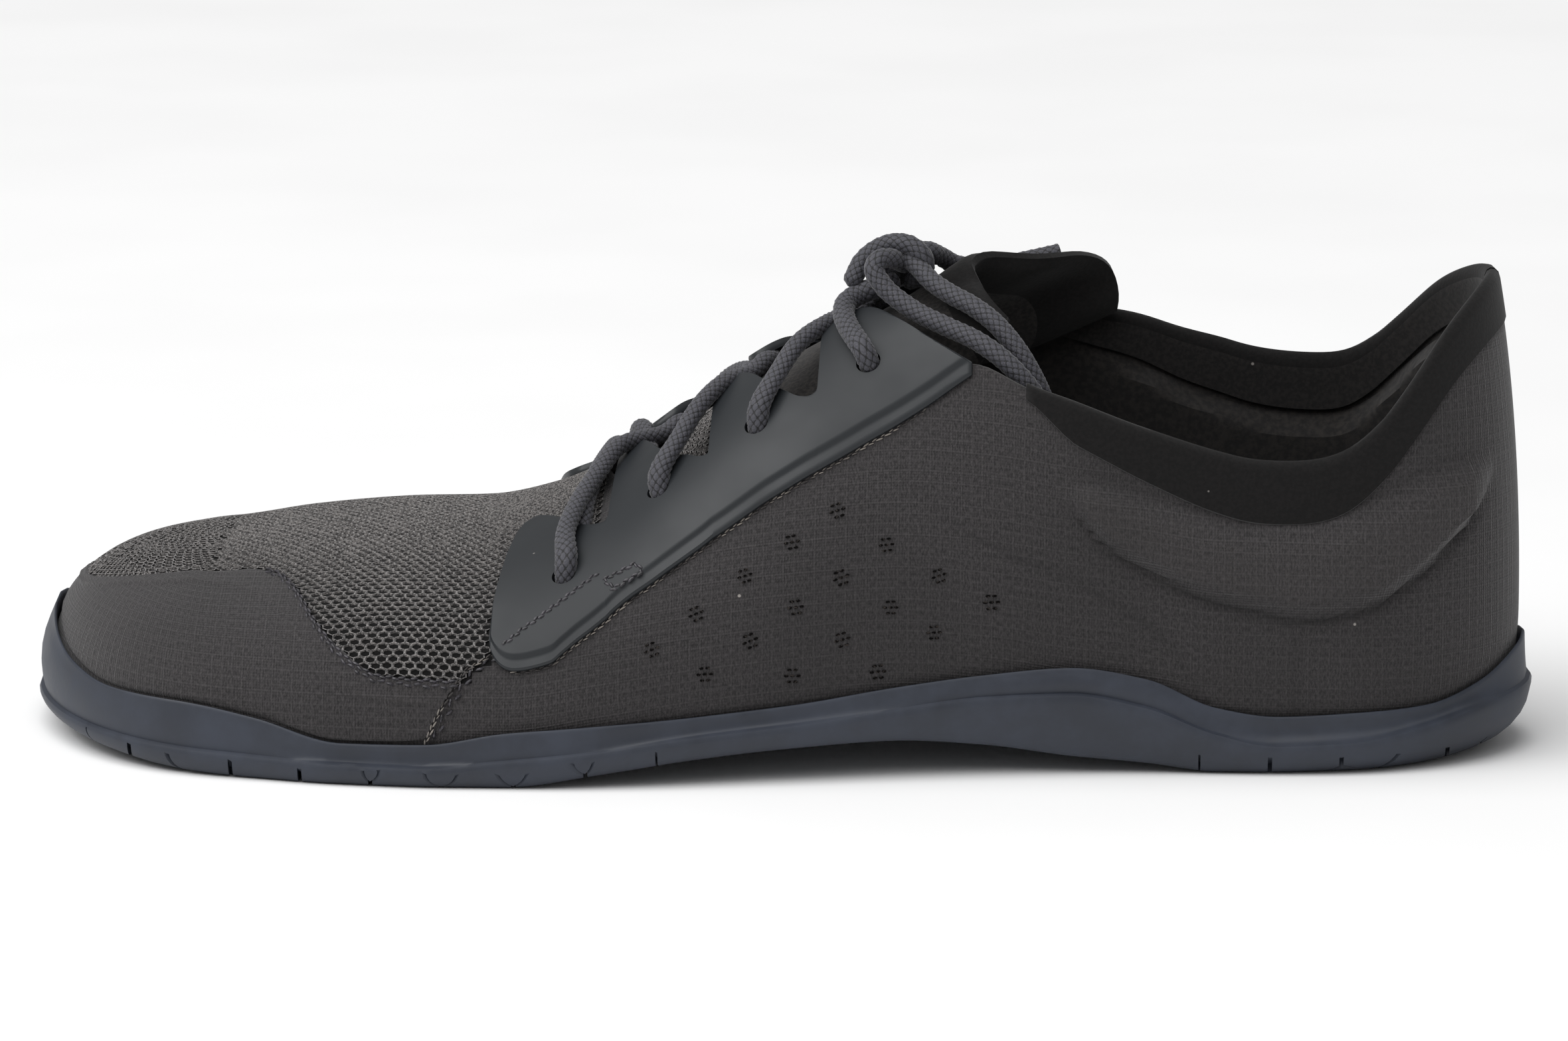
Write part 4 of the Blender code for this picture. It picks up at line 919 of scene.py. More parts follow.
class SHOE_OT_woven_upper(bpy.types.Operator):
    """Woven upper: one wall with its lining, padded heel, welded panels and rounded edges"""
    bl_idname = "shoe.woven_upper"
    bl_label = "Woven upper"

    def execute(self, context):
        side, u = around(200, closed=True)
        edge = edge_t(side, u)
        up = 62
        share = np.linspace(0, 1, up)[None, :] ** 0.95
        t = edge[:, None] * share
        s2, u2 = side[:, None], u[:, None]
        pad_lift, pad_shading = heel_relief(u2, t)
        weld_lift, weld_shading = quarter_relief(u2, t)
        lift = pad_lift + weld_lift
        outer = skin(s2, u2, t, lift)
        uv_outer = cloth_uv(s2, u2, t)
        rims, rim_uv = [], []
        for a in (30, 75, 120, 160):
            r = math.radians(a)
            over = edge + 0.0045 * math.sin(r) * (edge < 0.999)
            rims.append(skin(side, u, over, -0.5 * WALL * (1 - math.cos(r)))[:, None])
            rim_uv.append(cloth_uv(side, u, edge)[:, None])
        t_in = edge[:, None] * share[:, ::-1]
        below = (edge[:, None] - t_in) * COLLAR_ARCH
        cushion = (smooth_step(below, *ROLL_BEGINS) * (1 - smooth_step(below, *ROLL_ENDS))
                   * smooth_step(u2, 0.68, 0.74) * (1 - smooth_step(u2, 0.955, 0.99)))
        inner = skin(s2, u2, t_in, -WALL - ROLL_DEPTH * cushion)
        uv_inner = cloth_uv(s2, u2, t_in)
        points = np.concatenate([outer] + rims + [inner, outer[:, :1]], axis=1)
        coords = np.concatenate([uv_outer] + rim_uv + [uv_inner, uv_outer[:, :1]], axis=1)
        columns = points.shape[1]
        index = np.zeros((len(u), columns), int)
        index[:, up - 1:] = 1
        front = (u[:-1] <= THROAT_FRONT) & (u[1:] <= THROAT_FRONT)
        skip = np.zeros((len(u), columns), bool)
        skip[:-1, up - 1:up + len(rims)] = front[:, None]
        mesh_zone = in_mesh_zone(s2, u2, t, -0.025)
        index[:, :up][mesh_zone & (u2 > KNIT_END)] = 2
        # Painted shade and painted light from the pad and the welds, and the closed knit darkened towards
        # the open mesh.
        wear = np.zeros((len(u), columns))
        closing = -0.7 * smooth_step(u2, 0.5 * KNIT_END, KNIT_END) * in_mesh_zone(s2, u2, t)
        wear[:, :up] = pad_shading + weld_shading + closing
        mesh = net_mesh("upper_cloth", points, coords, index, skip, wear)
        place_piece("upper_cloth", mesh, ("ripstop", "lining", "backing"), "upper",
                    "heel_pad_lateral", "heel_pad_medial")
        return {"FINISHED"}


def toe_seam_u(t):
    """Station of the diagonal seam between the toe panel and the quarter."""
    us, ts = np.array(TOE_SEAM).T
    return np.interp(t, ts, us)


def in_mesh_zone(side, u, t, inset=0.0):
    """Whether a place lies in the open mesh of the vamp, between toe cap, seam and eyestays."""
    shift = np.where(np.asarray(side) > 0, MEDIAL_SHIFT, 0.0)
    v = u - shift
    above = np.where(u < 0.30, t > toe_edge(side, u) + inset, t > 0.318 + (v - 0.30) * 4.0 + inset)
    before_stay = (v < 0.3205) | (t > stay_high(v) - 0.01) | (v > 0.60)
    low_end = (t > 0.30) & (v < 0.385)
    return above & before_stay & low_end & (u < THROAT_FRONT)


def node_group(name, **sockets):
    """A geometry tree with a mesh input and named size inputs, and its group nodes."""
    tree = bpy.data.node_groups.new(name, "GeometryNodeTree")
    tree.interface.new_socket("Geometry", in_out="INPUT", socket_type="NodeSocketGeometry")
    found = {}
    for label, (kind, value) in sockets.items():
        socket = tree.interface.new_socket(label.replace("_", " "), in_out="INPUT", socket_type=kind)
        if value is not None:
            socket.default_value = value
        found[label] = socket.identifier
    tree.interface.new_socket("Geometry", in_out="OUTPUT", socket_type="NodeSocketGeometry")
    return tree, add_node(tree, "NodeGroupInput"), found


def scattered_tree(name):
    """Stands one small part on every point, turned by the points' stored facing and heading."""
    tree, start, found = node_group(name, Part=("NodeSocketObject", None),
                                    Finish=("NodeSocketMaterial", None),
                                    Scale=("NodeSocketFloat", 1.0), Seed=("NodeSocketInt", 7),
                                    Uneven=("NodeSocketFloat", 0.0))
    facing_of = add_node(tree, "GeometryNodeInputNamedAttribute", {"Name": "facing"},
                         data_type="FLOAT_VECTOR")
    heading = add_node(tree, "GeometryNodeInputNamedAttribute", {"Name": "heading"},
                       data_type="FLOAT_VECTOR")
    up = add_node(tree, "FunctionNodeAlignRotationToVector",
                  {"Vector": facing_of.outputs["Attribute"]}, axis="Z")
    turned = add_node(tree, "FunctionNodeAlignRotationToVector",
                      {"Rotation": up.outputs[0], "Vector": heading.outputs["Attribute"]},
                      axis="X", pivot_axis="Z")
    part = add_node(tree, "GeometryNodeObjectInfo", {"Object": start.outputs["Part"]})
    chance = add_node(tree, "FunctionNodeRandomValue", {"Seed": start.outputs["Seed"]},
                      data_type="FLOAT")
    spread = add_node(tree, "ShaderNodeMath", {0: chance.outputs[1], 1: start.outputs["Uneven"],
                                               2: start.outputs["Scale"]}, operation="MULTIPLY_ADD")
    points = add_node(tree, "GeometryNodeMeshToPoints", {"Mesh": start.outputs["Geometry"]})
    stood = add_node(tree, "GeometryNodeInstanceOnPoints",
                     {"Points": points.outputs[0], "Instance": part.outputs["Geometry"],
                      "Rotation": turned.outputs[0], "Scale": spread.outputs[0]})
    real = add_node(tree, "GeometryNodeRealizeInstances", {"Geometry": stood.outputs[0]})
    coated = add_node(tree, "GeometryNodeSetMaterial",
                      {"Geometry": real.outputs[0], "Material": start.outputs["Finish"]})
    add_node(tree, "NodeGroupOutput", {"Geometry": coated.outputs[0]})
    return tree, found


def scatter(name, part_mesh, places, facings, headings, finish, uneven=0.0):
    """A piece made of one small mesh repeated at many places."""
    seeds = bpy.data.meshes.new(name)
    seeds.from_pydata([tuple(p) for p in places], [], [])
    for label, data in (("facing", facings), ("heading", headings)):
        layer = seeds.attributes.new(label, "FLOAT_VECTOR", "POINT")
        layer.data.foreach_set("vector", np.asarray(data, float).ravel())
    part = bpy.data.objects.new(name + "_part", part_mesh)
    carrier = bpy.data.objects.new(name + "_points", seeds)
    for item in (part, carrier):
        bpy.context.scene.collection.objects.link(item)
    tree, found = scattered_tree(name + "_tree")
    modifier = carrier.modifiers.new("repeat", "NODES")
    modifier.node_group = tree
    modifier[found["Part"]] = part
    modifier[found["Finish"]] = finish_of(finish)
    modifier[found["Uneven"]] = uneven
    mesh = bake(carrier)
    bpy.data.objects.remove(carrier)
    bpy.data.objects.remove(part)
    if not mesh.polygons:
        raise RuntimeError(name + " has no faces")
    mesh.materials.clear()
    mesh.materials.append(finish_of(finish))
    mesh.name = name
    return place_piece(name, mesh, (finish,))


def cell_ring(width, height, bar, rise):
    """One cell of the open mesh: a hexagon of knitted bars that meets its neighbours' bars."""
    bm = bmesh.new()
    rings = []
    for inset, z in ((0.0, 0.75 * rise), (0.9, rise), (2.0, -0.6 * rise)):
        x_scale, y_scale = 1 - inset * bar / width, 1 - inset * bar / height
        rings.append([bm.verts.new((width / math.sqrt(3) * x_scale * math.cos(a),
                                    0.5 * height * y_scale * math.sin(a), z))
                      for a in (math.radians(60 * k + 30) for k in range(6))])
    for low, high in zip(rings, rings[1:]):
        for k in range(6):
            n = (k + 1) % 6
            bm.faces.new((low[k], low[n], high[n], high[k]))
    return close_mesh("cell_ring", bm, tidy=False)


class SHOE_OT_honeycomb_mesh(bpy.types.Operator):
    """Open spacer mesh of the vamp and of the tongue's front: one ring for each cell"""
    bl_idname = "shoe.honeycomb_mesh"
    bl_label = "Honeycomb mesh"

    def execute(self, context):
        wide, tall = sizes().cell_width, sizes().cell_height
        places, facings, headings = [], [], []
        for side in (LATERAL, MEDIAL):
            first, _ = CLOTH[side]
            for row in range(0 if side < 0 else 1, int(0.080 / (0.75 * tall))):
                down = (row + 0.001) * 0.75 * tall
                along = wide * (np.arange(math.floor(first[0] / wide), 0) + 0.5 * (row % 2))
                along = np.unique(np.maximum(along, first[0]))
                u = np.interp(along, first, GRID_U)
                t_line = np.linspace(0.2, 1.0, 161)
                girth = cloth_uv(side, u[:, None], t_line[None, :])[..., 1]
                fall = girth[:, -1:] - girth
                t = np.array([np.interp(-down, -line, t_line) for line in fall])
                reach = fall[:, 0]
                on_vamp = in_mesh_zone(side, u, t) & (reach > down) & ((u > 0) | (side < 0))
                on_vamp &= self.apart(bare(side, u, t), 0.58 * wide)
                on_tongue = (u >= THROAT_FRONT) & (u < 0.452) & (t > 0.70) & (t < 0.999)
                for mask, lift in ((on_vamp, CELL_STAND), (on_tongue, -WALL - FIT + CELL_STAND)):
                    if not mask.any():
                        continue
                    v, q = u[mask], t[mask]
                    places.append(skin(side, v, q, lift))
                    normal = facing(side, v, q)
                    facings.append(normal)
                    ahead = (bare(side, np.minimum(v + STATION_STEP, 1), q)
                             - bare(side, v - STATION_STEP, q))
                    headings.append(ahead / np.linalg.norm(ahead, axis=1, keepdims=True))
        ring = cell_ring(wide, tall, sizes().cell_bar, 0.00024)
        scatter("vamp_mesh", ring, np.concatenate(places), np.concatenate(facings),
                np.concatenate(headings), "yarn")
        return {"FINISHED"}

    def apart(self, spots, least):
        """Which places of a row to keep, so that cells don't crowd where columns meet at the toe."""
        keep, last = np.zeros(len(spots), bool), None
        for k in range(len(spots)):
            if last is None or np.linalg.norm(spots[k] - last) > least:
                keep[k], last = True, spots[k]
        return keep


class SHOE_OT_toe_cap(bpy.types.Operator):
    """Ripstop toe panel with its welded line, from the sole's edge to the open mesh"""
    bl_idname = "shoe.toe_cap"
    bl_label = "Toe cap"

    def execute(self, context):
        ring = np.concatenate([np.linspace(0.0, 0.018, 9), np.linspace(0.0215, 0.298, 90)])
        side = np.concatenate([np.full(len(ring), LATERAL), np.full(len(ring) - 1, MEDIAL)])
        u = np.concatenate([ring[::-1], ring[1:]])
        low = height_to_t(side, u, rim_z(u) * LENGTH + 0.55 * LIP)
        high = np.maximum(toe_edge(side, u), low + 0.03)
        share = eased(36, 1.5)[None, :]
        t = low[:, None] + (high - low)[:, None] * share
        s2 = side[:, None]
        u2 = u[:, None] + smooth_step(u, 0.20, 0.298)[:, None] * (toe_seam_u(t) - 0.298)
        weld = toe_weld(u2)
        ridge = np.exp(-((t - weld) / 0.0075) ** 2)
        lift = 0.00016 * smooth_step(t - weld, -0.006, 0.006) + 0.00030 * ridge
        reach = np.minimum(share, 1 - share) * (high - low)[:, None]
        border = smooth_step(reach, 0.0, 0.008)
        top = PANEL_EDGE + (TRIM - 0.0002 + lift) * border
        # Painted highlight along the weld's ridge and painted shade below the weld line.
        slab("toe_panel", s2, u2, t, PANEL_SEAT, top, "ripstop", "toe_cap",
             wear=0.14 * ridge - 0.12 * smooth_step(weld - t, 0.0, 0.02))
        return {"FINISHED"}


def eyestay_cells(side, columns=300, rows=24):
    """Stations spread evenly along the scalloped edge, and the places across the film."""
    fine = np.linspace(EYESTAY[0][0], EYESTAY[-1][0], 4000)
    run = np.hypot(np.diff(fine) * LENGTH, np.diff(stay_high(fine)) * 0.04)
    run = np.concatenate([[0.0], np.cumsum(run)])
    u = np.interp(np.linspace(0, run[-1], columns), run, fine)
    low, high = stay_low(u), stay_high(u)
    lip = np.array([0.0, 0.002, 0.006, 0.014, 0.022, 0.0265, 0.031, 0.0355, 0.040, 0.045])
    lip = lip[None, :] * np.minimum(1.0, (high - low) / 0.09)[:, None]
    share = (1 - (1 - np.linspace(0, 1, rows)[1:]) ** 1.6)[None, :]
    rest = (high - low)[:, None] - lip[:, -1:]
    t = low[:, None] + np.concatenate([lip, lip[:, -1:] + rest * share], axis=1)
    shift = MEDIAL_SHIFT if side > 0 else 0.0
    return u, (u + shift)[:, None], t, low, high


class SHOE_OT_eyestays(bpy.types.Operator):
    """Moulded eyestays with scalloped edges, a bevelled lower border and four lace holes each"""
    bl_idname = "shoe.eyestays"
    bl_label = "Eyestays"

    def execute(self, context):
        for side, name in ((LATERAL, "eyestay_lateral"), (MEDIAL, "eyestay_medial")):
            v, u, t, low, high = eyestay_cells(side)
            up = (t - low[:, None]) * EYESTAY_ARCH
            down = (high[:, None] - t) * EYESTAY_ARCH
            ends = np.minimum(v - v[0], v[-1] - v)[:, None] * LENGTH
            bevel = smooth_step(up, 0.0023, 0.0036)
            crisp = smooth_step(np.minimum(np.minimum(up, down), ends), 0.0, 0.0005)
            thick = OVERLAY * (0.15 + 0.85 * (0.35 + 0.65 * bevel) * crisp)
            piece = slab(name + "_film", side, u, t, FILM_SEAT, SEAT + thick, "film", name)
            self.cut_holes(context, piece, side)
        return {"FINISHED"}

    def cut_holes(self, context, piece, side):
        shift = MEDIAL_SHIFT if side > 0 else 0.0
        for k, (u, t) in enumerate(EYELETS):
            spot, normal = bare(side, u + shift, t), facing(side, u + shift, t)
            bpy.ops.mesh.primitive_cylinder_add(vertices=40, radius=0.5 * EYELET, depth=0.012)
            cutter = context.active_object
            cutter.rotation_mode = "QUATERNION"
            cutter.rotation_quaternion = Vector(normal).to_track_quat("Z", "Y")
            cutter.location = spot
            cut = piece.modifiers.new("hole", "BOOLEAN")
            cut.object, cut.operation, cut.solver = cutter, "DIFFERENCE", "EXACT"
            mesh = bake(piece)
            piece.modifiers.clear()
            old, piece.data = piece.data, mesh
            bpy.data.meshes.remove(old)
            bpy.data.objects.remove(cutter)


class SHOE_OT_collar(bpy.types.Operator):
    """Suede band folded over the collar's edge, outside and in"""
    bl_idname = "shoe.collar"
    bl_label = "Collar"

    def execute(self, context):
        side, u = around(200)
        keep = u > COLLAR_FRONT
        side, u = side[keep], u[keep]
        edge = edge_t(side, u)
        drop = COLLAR_BAND * (0.35 + 0.65 * smooth_step(u, COLLAR_FRONT, 0.70))
        sections, coords = [], []
        for share in (1.0, 0.97, 0.8, 0.6, 0.4, 0.2, 0.05):
            lift = TRIM if share < 0.98 else 0.0001
            sections.append(skin(side, u, edge - drop * share, lift))
            coords.append(cloth_uv(side, u, edge - drop * share))
        for a in (25, 60, 90, 120, 155):
            r = math.radians(a)
            mid, half = -0.5 * WALL, 0.5 * WALL + TRIM
            over = edge + 0.012 * math.sin(r)
            sections.append(skin(side, u, over, mid + half * math.cos(r)))
            coords.append(cloth_uv(side, u, edge))
        for share in (0.05, 0.2, 0.4, 0.6, 0.8, 0.97, 1.0):
            lift = -WALL - (0.00085 if share < 0.98 else 0.0003)
            sections.append(skin(side, u, edge - COLLAR_BAND * share, lift))
            coords.append(cloth_uv(side, u, edge - COLLAR_BAND * share))
        points, uv = np.stack(sections, axis=1), np.stack(coords, axis=1)
        index = np.zeros(points.shape[:2], int)
        # Inner face of the band: the lighter copy of the suede, painted light.
        index[:, 12:] = 1
        mesh = net_mesh("collar_suede", points, uv, index)
        piece = place_piece("collar_suede_band", mesh, ("suede", "inner_suede_lit"), "collar_band")
        wall = piece.modifiers.new("cloth thickness", "SOLIDIFY")
        wall.thickness, wall.offset = 0.0004, -1.0
        return {"FINISHED"}


class SHOE_OT_tongue(bpy.types.Operator):
    """Felted tongue with a suede band along its top edge"""
    bl_idname = "shoe.tongue"
    bl_label = "Tongue"

    def execute(self, context):
        columns = {k: curve(TONGUE_ROWS, k) for k in range(1, 6)}
        share = eased(70, 1.25)
        across = eased(48, 1.4) * 2 - 1
        a = across[None, :]
        s = share[:, None] * (1 - 0.05 * np.clip((a - 0.6) / 0.4, 0, 1) ** 2.5)
        wing = np.where(a < 0, columns[1](s), columns[2](s))
        border = np.where(a < 0, columns[4](s), columns[5](s))
        middle = columns[3](s)
        u = middle + (border - middle) * np.abs(a) ** np.where(a > 0, 1.4, 2.0)
        side, t = arch(1 + wing * a)
        stand = TONGUE_STAND * smooth_step(s, 0.76, 1.0) * (
            smooth_step(a, -0.25, 0.2) - 1.3 * np.exp(-((a - 0.5) / 0.3) ** 2))
        stand = stand * smooth_step(t - edge_t(side, u), 0.01, 0.08)
        drop = WALL + FIT + TONGUE_ROOM * np.maximum(0.0, -a) * np.maximum(0.0, s - 0.5) - stand
        rounding = smooth_step(np.minimum((1 - np.abs(a)) * 0.03, (1 - s) * 0.06), 0.0, 0.0016)
        thick = TONGUE * (0.45 + 0.55 * rounding)
        middle_lift = -drop - 0.5 * TONGUE
        index = (share[:, None] + 0 * a > 0.90).astype(int)
        slab("tongue_felt", side, u, t, middle_lift - 0.5 * thick, middle_lift + 0.5 * thick,
             ("felt", "suede"), "tongue", index=index)
        return {"FINISHED"}


class SHOE_OT_insole(bpy.types.Operator):
    """Footbed with a knitted cover and a soft rim"""
    bl_idname = "shoe.insole"
    bl_label = "Insole"

    def execute(self, context):
        side, u = around(110, closed=True)
        inset = SIDE_WALL + GAP + tuck_in(u) * LENGTH + WALL + GAP
        edge = outline(side, u) + inward(side, u) * inset[:, None]
        low, pole = footbed(u) + GAP, np.clip(u, TOE_POLE, HEEL_POLE)
        top = crown(u)[:, :2]
        centre = footbed(pole) + GAP
        rows = [np.column_stack([top, centre]), np.column_stack([edge, low])]
        for share, rise in ((1.0, 0.5), (0.985, 0.85), (0.95, 1.0), (0.7, 0.97), (0.4, 0.95),
                            (0.0, 0.95)):
            plan = top * (1 - share) + edge * share
            z = (centre * (1 - share) + low * share) + INSOLE * rise
            rows.append(np.column_stack([plan, z]))
        rows.append(rows[0])
        mesh = net_mesh("footbed", np.stack(rows, axis=1))
        place_piece("footbed_knit", mesh, ("foam",), "insole")
        return {"FINISHED"}


def slit_cluster(size):
    """Seven small slits in rows of two, three and two."""
    bm = bmesh.new()
    for y, xs in ((-0.34, (-0.17, 0.17)), (0.0, (-0.34, 0.0, 0.34)), (0.34, (-0.17, 0.17))):
        for x in xs:
            ring = []
            for k in range(6):
                a = math.radians(60 * k)
                ring.append(bm.verts.new(((x + 0.150 * math.cos(a)) * size,
                                          (y + 0.080 * math.sin(a)) * size, 0.0)))
            peak = bm.verts.new((x * size, y * size, 0.00006))
            for k in range(6):
                bm.faces.new((ring[k], ring[(k + 1) % 6], peak))
    return close_mesh("slit_cluster", bm, tidy=False)


class SHOE_OT_perforations(bpy.types.Operator):
    """Clusters of small perforations in both quarters"""
    bl_idname = "shoe.perforations"
    bl_label = "Perforations"

    def execute(self, context):
        table = np.array(PERFORATIONS)
        places, facings, headings = [], [], []
        for side, shift in ((LATERAL, 0.0), (MEDIAL, 0.5 * MEDIAL_SHIFT)):
            u, t = table[:, 0] + shift, table[:, 1]
            places.append(skin(side, u, t, SLIT_STAND))
            facings.append(facing(side, u, t))
            ahead = bare(side, u + STATION_STEP, t) - bare(side, u - STATION_STEP, t)
            ahead /= np.linalg.norm(ahead, axis=1, keepdims=True)
            turned = 0.16 * np.sin(5.3 * np.arange(len(u)))[:, None]
            headings.append(ahead + turned * np.cross(facings[-1], ahead))
        scatter("quarter_perforations", slit_cluster(sizes().cluster_size), np.concatenate(places),
                np.concatenate(facings), np.concatenate(headings), "hole", uneven=0.12)
        return {"FINISHED"}


def stitch_bead(length, thick):
    """One stitch: a short rounded bead that sinks in at both ends."""
    bm = bmesh.new()
    rings = []
    for x, r in ((-0.5, 0.25), (-0.3, 0.9), (0.0, 1.0), (0.3, 0.9), (0.5, 0.25)):
        ring = [bm.verts.new((x * length, 0.5 * thick * r * math.cos(a), 0.5 * thick * r * math.sin(a)
                              - 0.35 * thick * (2 * x) ** 2))
                for a in (math.radians(60 * k) for k in range(6))]
        rings.append(ring)
    for low, high in zip(rings, rings[1:]):
        for k in range(6):
            n = (k + 1) % 6
            bm.faces.new((low[k], low[n], high[n], high[k]))
    bm.faces.new(rings[0])
    bm.faces.new(rings[-1])
    return close_mesh("stitch_bead", bm)


def seam_places(side, us, ts, lift, pitch, sway=0.0):
    """Evenly spaced places along a line on the upper, with their facings and headings."""
    share = np.linspace(0, 1, 400)
    knots = np.linspace(0, 1, len(us))
    u, t = np.interp(share, knots, us), np.interp(share, knots, ts)
    path = skin(side, u, t, lift)
    run = np.concatenate([[0], np.cumsum(np.linalg.norm(np.diff(path, axis=0), axis=1))])
    marks = np.arange(0.5 * pitch, run[-1], pitch)
    f = np.interp(marks, run, share)
    u, t = np.interp(f, share, u), np.interp(f, share, t)
    normal = facing(side, u, t)
    before, after = (np.stack([np.interp(marks + step, run, path[:, k]) for k in range(3)], axis=1)
                     for step in (-0.0004, 0.0004))
    ahead = after - before
    ahead /= np.maximum(np.linalg.norm(ahead, axis=1, keepdims=True), 1e-9)
    beside = np.cross(normal, ahead) * (sway * (-1.0) ** np.arange(len(marks)))[:, None]
    return skin(side, u, t, lift) + beside, normal, ahead + beside * 900


class SHOE_OT_stitching(bpy.types.Operator):
    """Sewn lines of the eyestays, toe panel and quarter, and the frayed cloth below the eyestays"""
    bl_idname = "shoe.stitching"
    bl_label = "Stitching"

    def execute(self, context):
        pitch = sizes().stitch_pitch
        sewn = []
        film = SEAT + OVERLAY + 0.00005
        for side, shift in ((LATERAL, 0.0), (MEDIAL, MEDIAL_SHIFT)):
            for line in (EYESTAY_ROW, EYESTAY_BOX):
                us, ts = np.array(line).T
                sewn.append(seam_places(side, us + shift, ts, film, pitch * 0.55, 0.00022))
            us = np.linspace(0.165, 0.300, 40)
            sewn.append(seam_places(side, us, toe_edge(side, us) - 0.018, TRIM + 0.0002, pitch, 0.0002))
            sewn.append(seam_places(side, us, toe_edge(side, us) - 0.002, TRIM + 0.0001, pitch * 0.7,
                                    0.00016))
            ts = np.linspace(0.15, 0.42, 20)
            sewn.append(seam_places(side, toe_seam_u(ts) + 0.006, ts, 0.0003, pitch, 0.0004))
        places, facings, headings = (np.concatenate(group) for group in zip(*sewn))
        scatter("sewn_lines", stitch_bead(pitch * 0.86, sizes().thread_thickness), places, facings,
                headings, "thread", uneven=0.15)
        frays = []
        for side, shift in ((LATERAL, 0.0), (MEDIAL, MEDIAL_SHIFT)):
            us = np.linspace(0.335, 0.600, 60)
            frays.append(seam_places(side, us + shift, stay_low(us) - 0.004, 0.0002, 0.0009, 0.00018))
            ts = np.linspace(0.13, 0.43, 20)
            frays.append(seam_places(side, toe_seam_u(ts) + 0.0012, ts, 0.0006, 0.0008, 0.00020))
        places, facings, headings = (np.concatenate(group) for group in zip(*frays))
        scatter("frayed_edges", stitch_bead(0.0009, 0.00020), places, facings, headings, "fray",
                uneven=0.6)
        return {"FINISHED"}


def spline(points, step):
    """Places about step apart on a smooth curve through the given ones."""
    points = np.asarray(points, float)
    ends = np.concatenate([[2 * points[0] - points[1]], points, [2 * points[-1] - points[-2]]])
    out = []
    for a, b, c, d in zip(ends, ends[1:], ends[2:], ends[3:]):
        count = max(2, int(round(np.linalg.norm((c - b)[:3]) / step)))
        for f in np.arange(count) / count:
            out.append(0.5 * (2 * b + (c - a) * f + (2 * a - 5 * b + 4 * c - d) * f * f
                              + (3 * b - a - 3 * c + d) * f ** 3))
    return np.array(out + [points[-1]])


def braid_mesh(name, routes):
    """Braided tubes along routes of (x, y, z, thickness, flatness) and the direction they flatten."""
    bm = bmesh.new()
    layer = bm.loops.layers.uv.new("braid")
    sides = 28
    for route, press in routes:
        line = spline(route, 0.00042)
        path, thick, flat = line[:, :3], line[:, 3], np.clip(line[:, 4], 0, 0.6)
        ahead = np.gradient(path, axis=0)
        ahead /= np.linalg.norm(ahead, axis=1, keepdims=True)
        across = np.cross(ahead[0], np.array([0.3, 0.2, 0.93]))
        across /= np.linalg.norm(across)
        run, runs, rings = 0.0, [], []
        for k, (point, way) in enumerate(zip(path, ahead)):
            across = across - way * np.dot(across, way)
            across /= np.linalg.norm(across)
            other = np.cross(way, across)
            if k:
                run += np.linalg.norm(path[k] - path[k - 1])
            runs.append(run)
            angle = np.linspace(0, 2 * np.pi, sides, endpoint=False)
            turn = np.arange(sides) / sides * BRAID_YARNS
            pace = run / BRAID_PICK
            weave = (np.abs(np.sin(np.pi * (turn + pace))) * np.abs(np.sin(np.pi * (turn - pace)))) ** 0.7
            end = min(1.0, 0.35 + min(run, BRAID_END) / BRAID_END)
            radius = 0.5 * thick[k] * (0.90 + 0.14 * weave) * end
            offset = np.cos(angle)[:, None] * across + np.sin(angle)[:, None] * other
            offset *= radius[:, None]
            if press is not None:
                offset = offset - np.outer(offset @ press, press) * flat[k]
                spread = offset - np.outer(offset @ press, press)
                offset = offset + spread * 0.35 * flat[k]
            rings.append([bm.verts.new(point + o) for o in offset])
        for k in range(len(rings) - 1):
            for j in range(sides):
                n = (j + 1) % sides
                face = bm.faces.new((rings[k][j], rings[k][n], rings[k + 1][n], rings[k + 1][j]))
                for loop, (a, b) in zip(face.loops, ((j, k), (j + 1, k), (j + 1, k + 1), (j, k + 1))):
                    loop[layer].uv = (a / sides * BRAID_YARNS, runs[b] / BRAID_PICK)
        for ring in (rings[0], rings[-1]):
            bm.faces.new(ring)
    bmesh.ops.recalc_face_normals(bm, faces=bm.faces)
    mesh = bpy.data.meshes.new(name)
    bm.to_mesh(mesh)
    bm.free()
    return mesh


def laid_lace(name, routes, node):
    """A braided piece that stands for one of the part's lace solids."""
    return place_piece(name, braid_mesh(name, routes), ("braid",), node, smooth_angle=180.0)


def route_of(points, thickness):
    """A lace's route from points in millimetres."""
    return [(x / 1000, y / 1000, z / 1000, thickness, 0.0) for x, y, z in points]


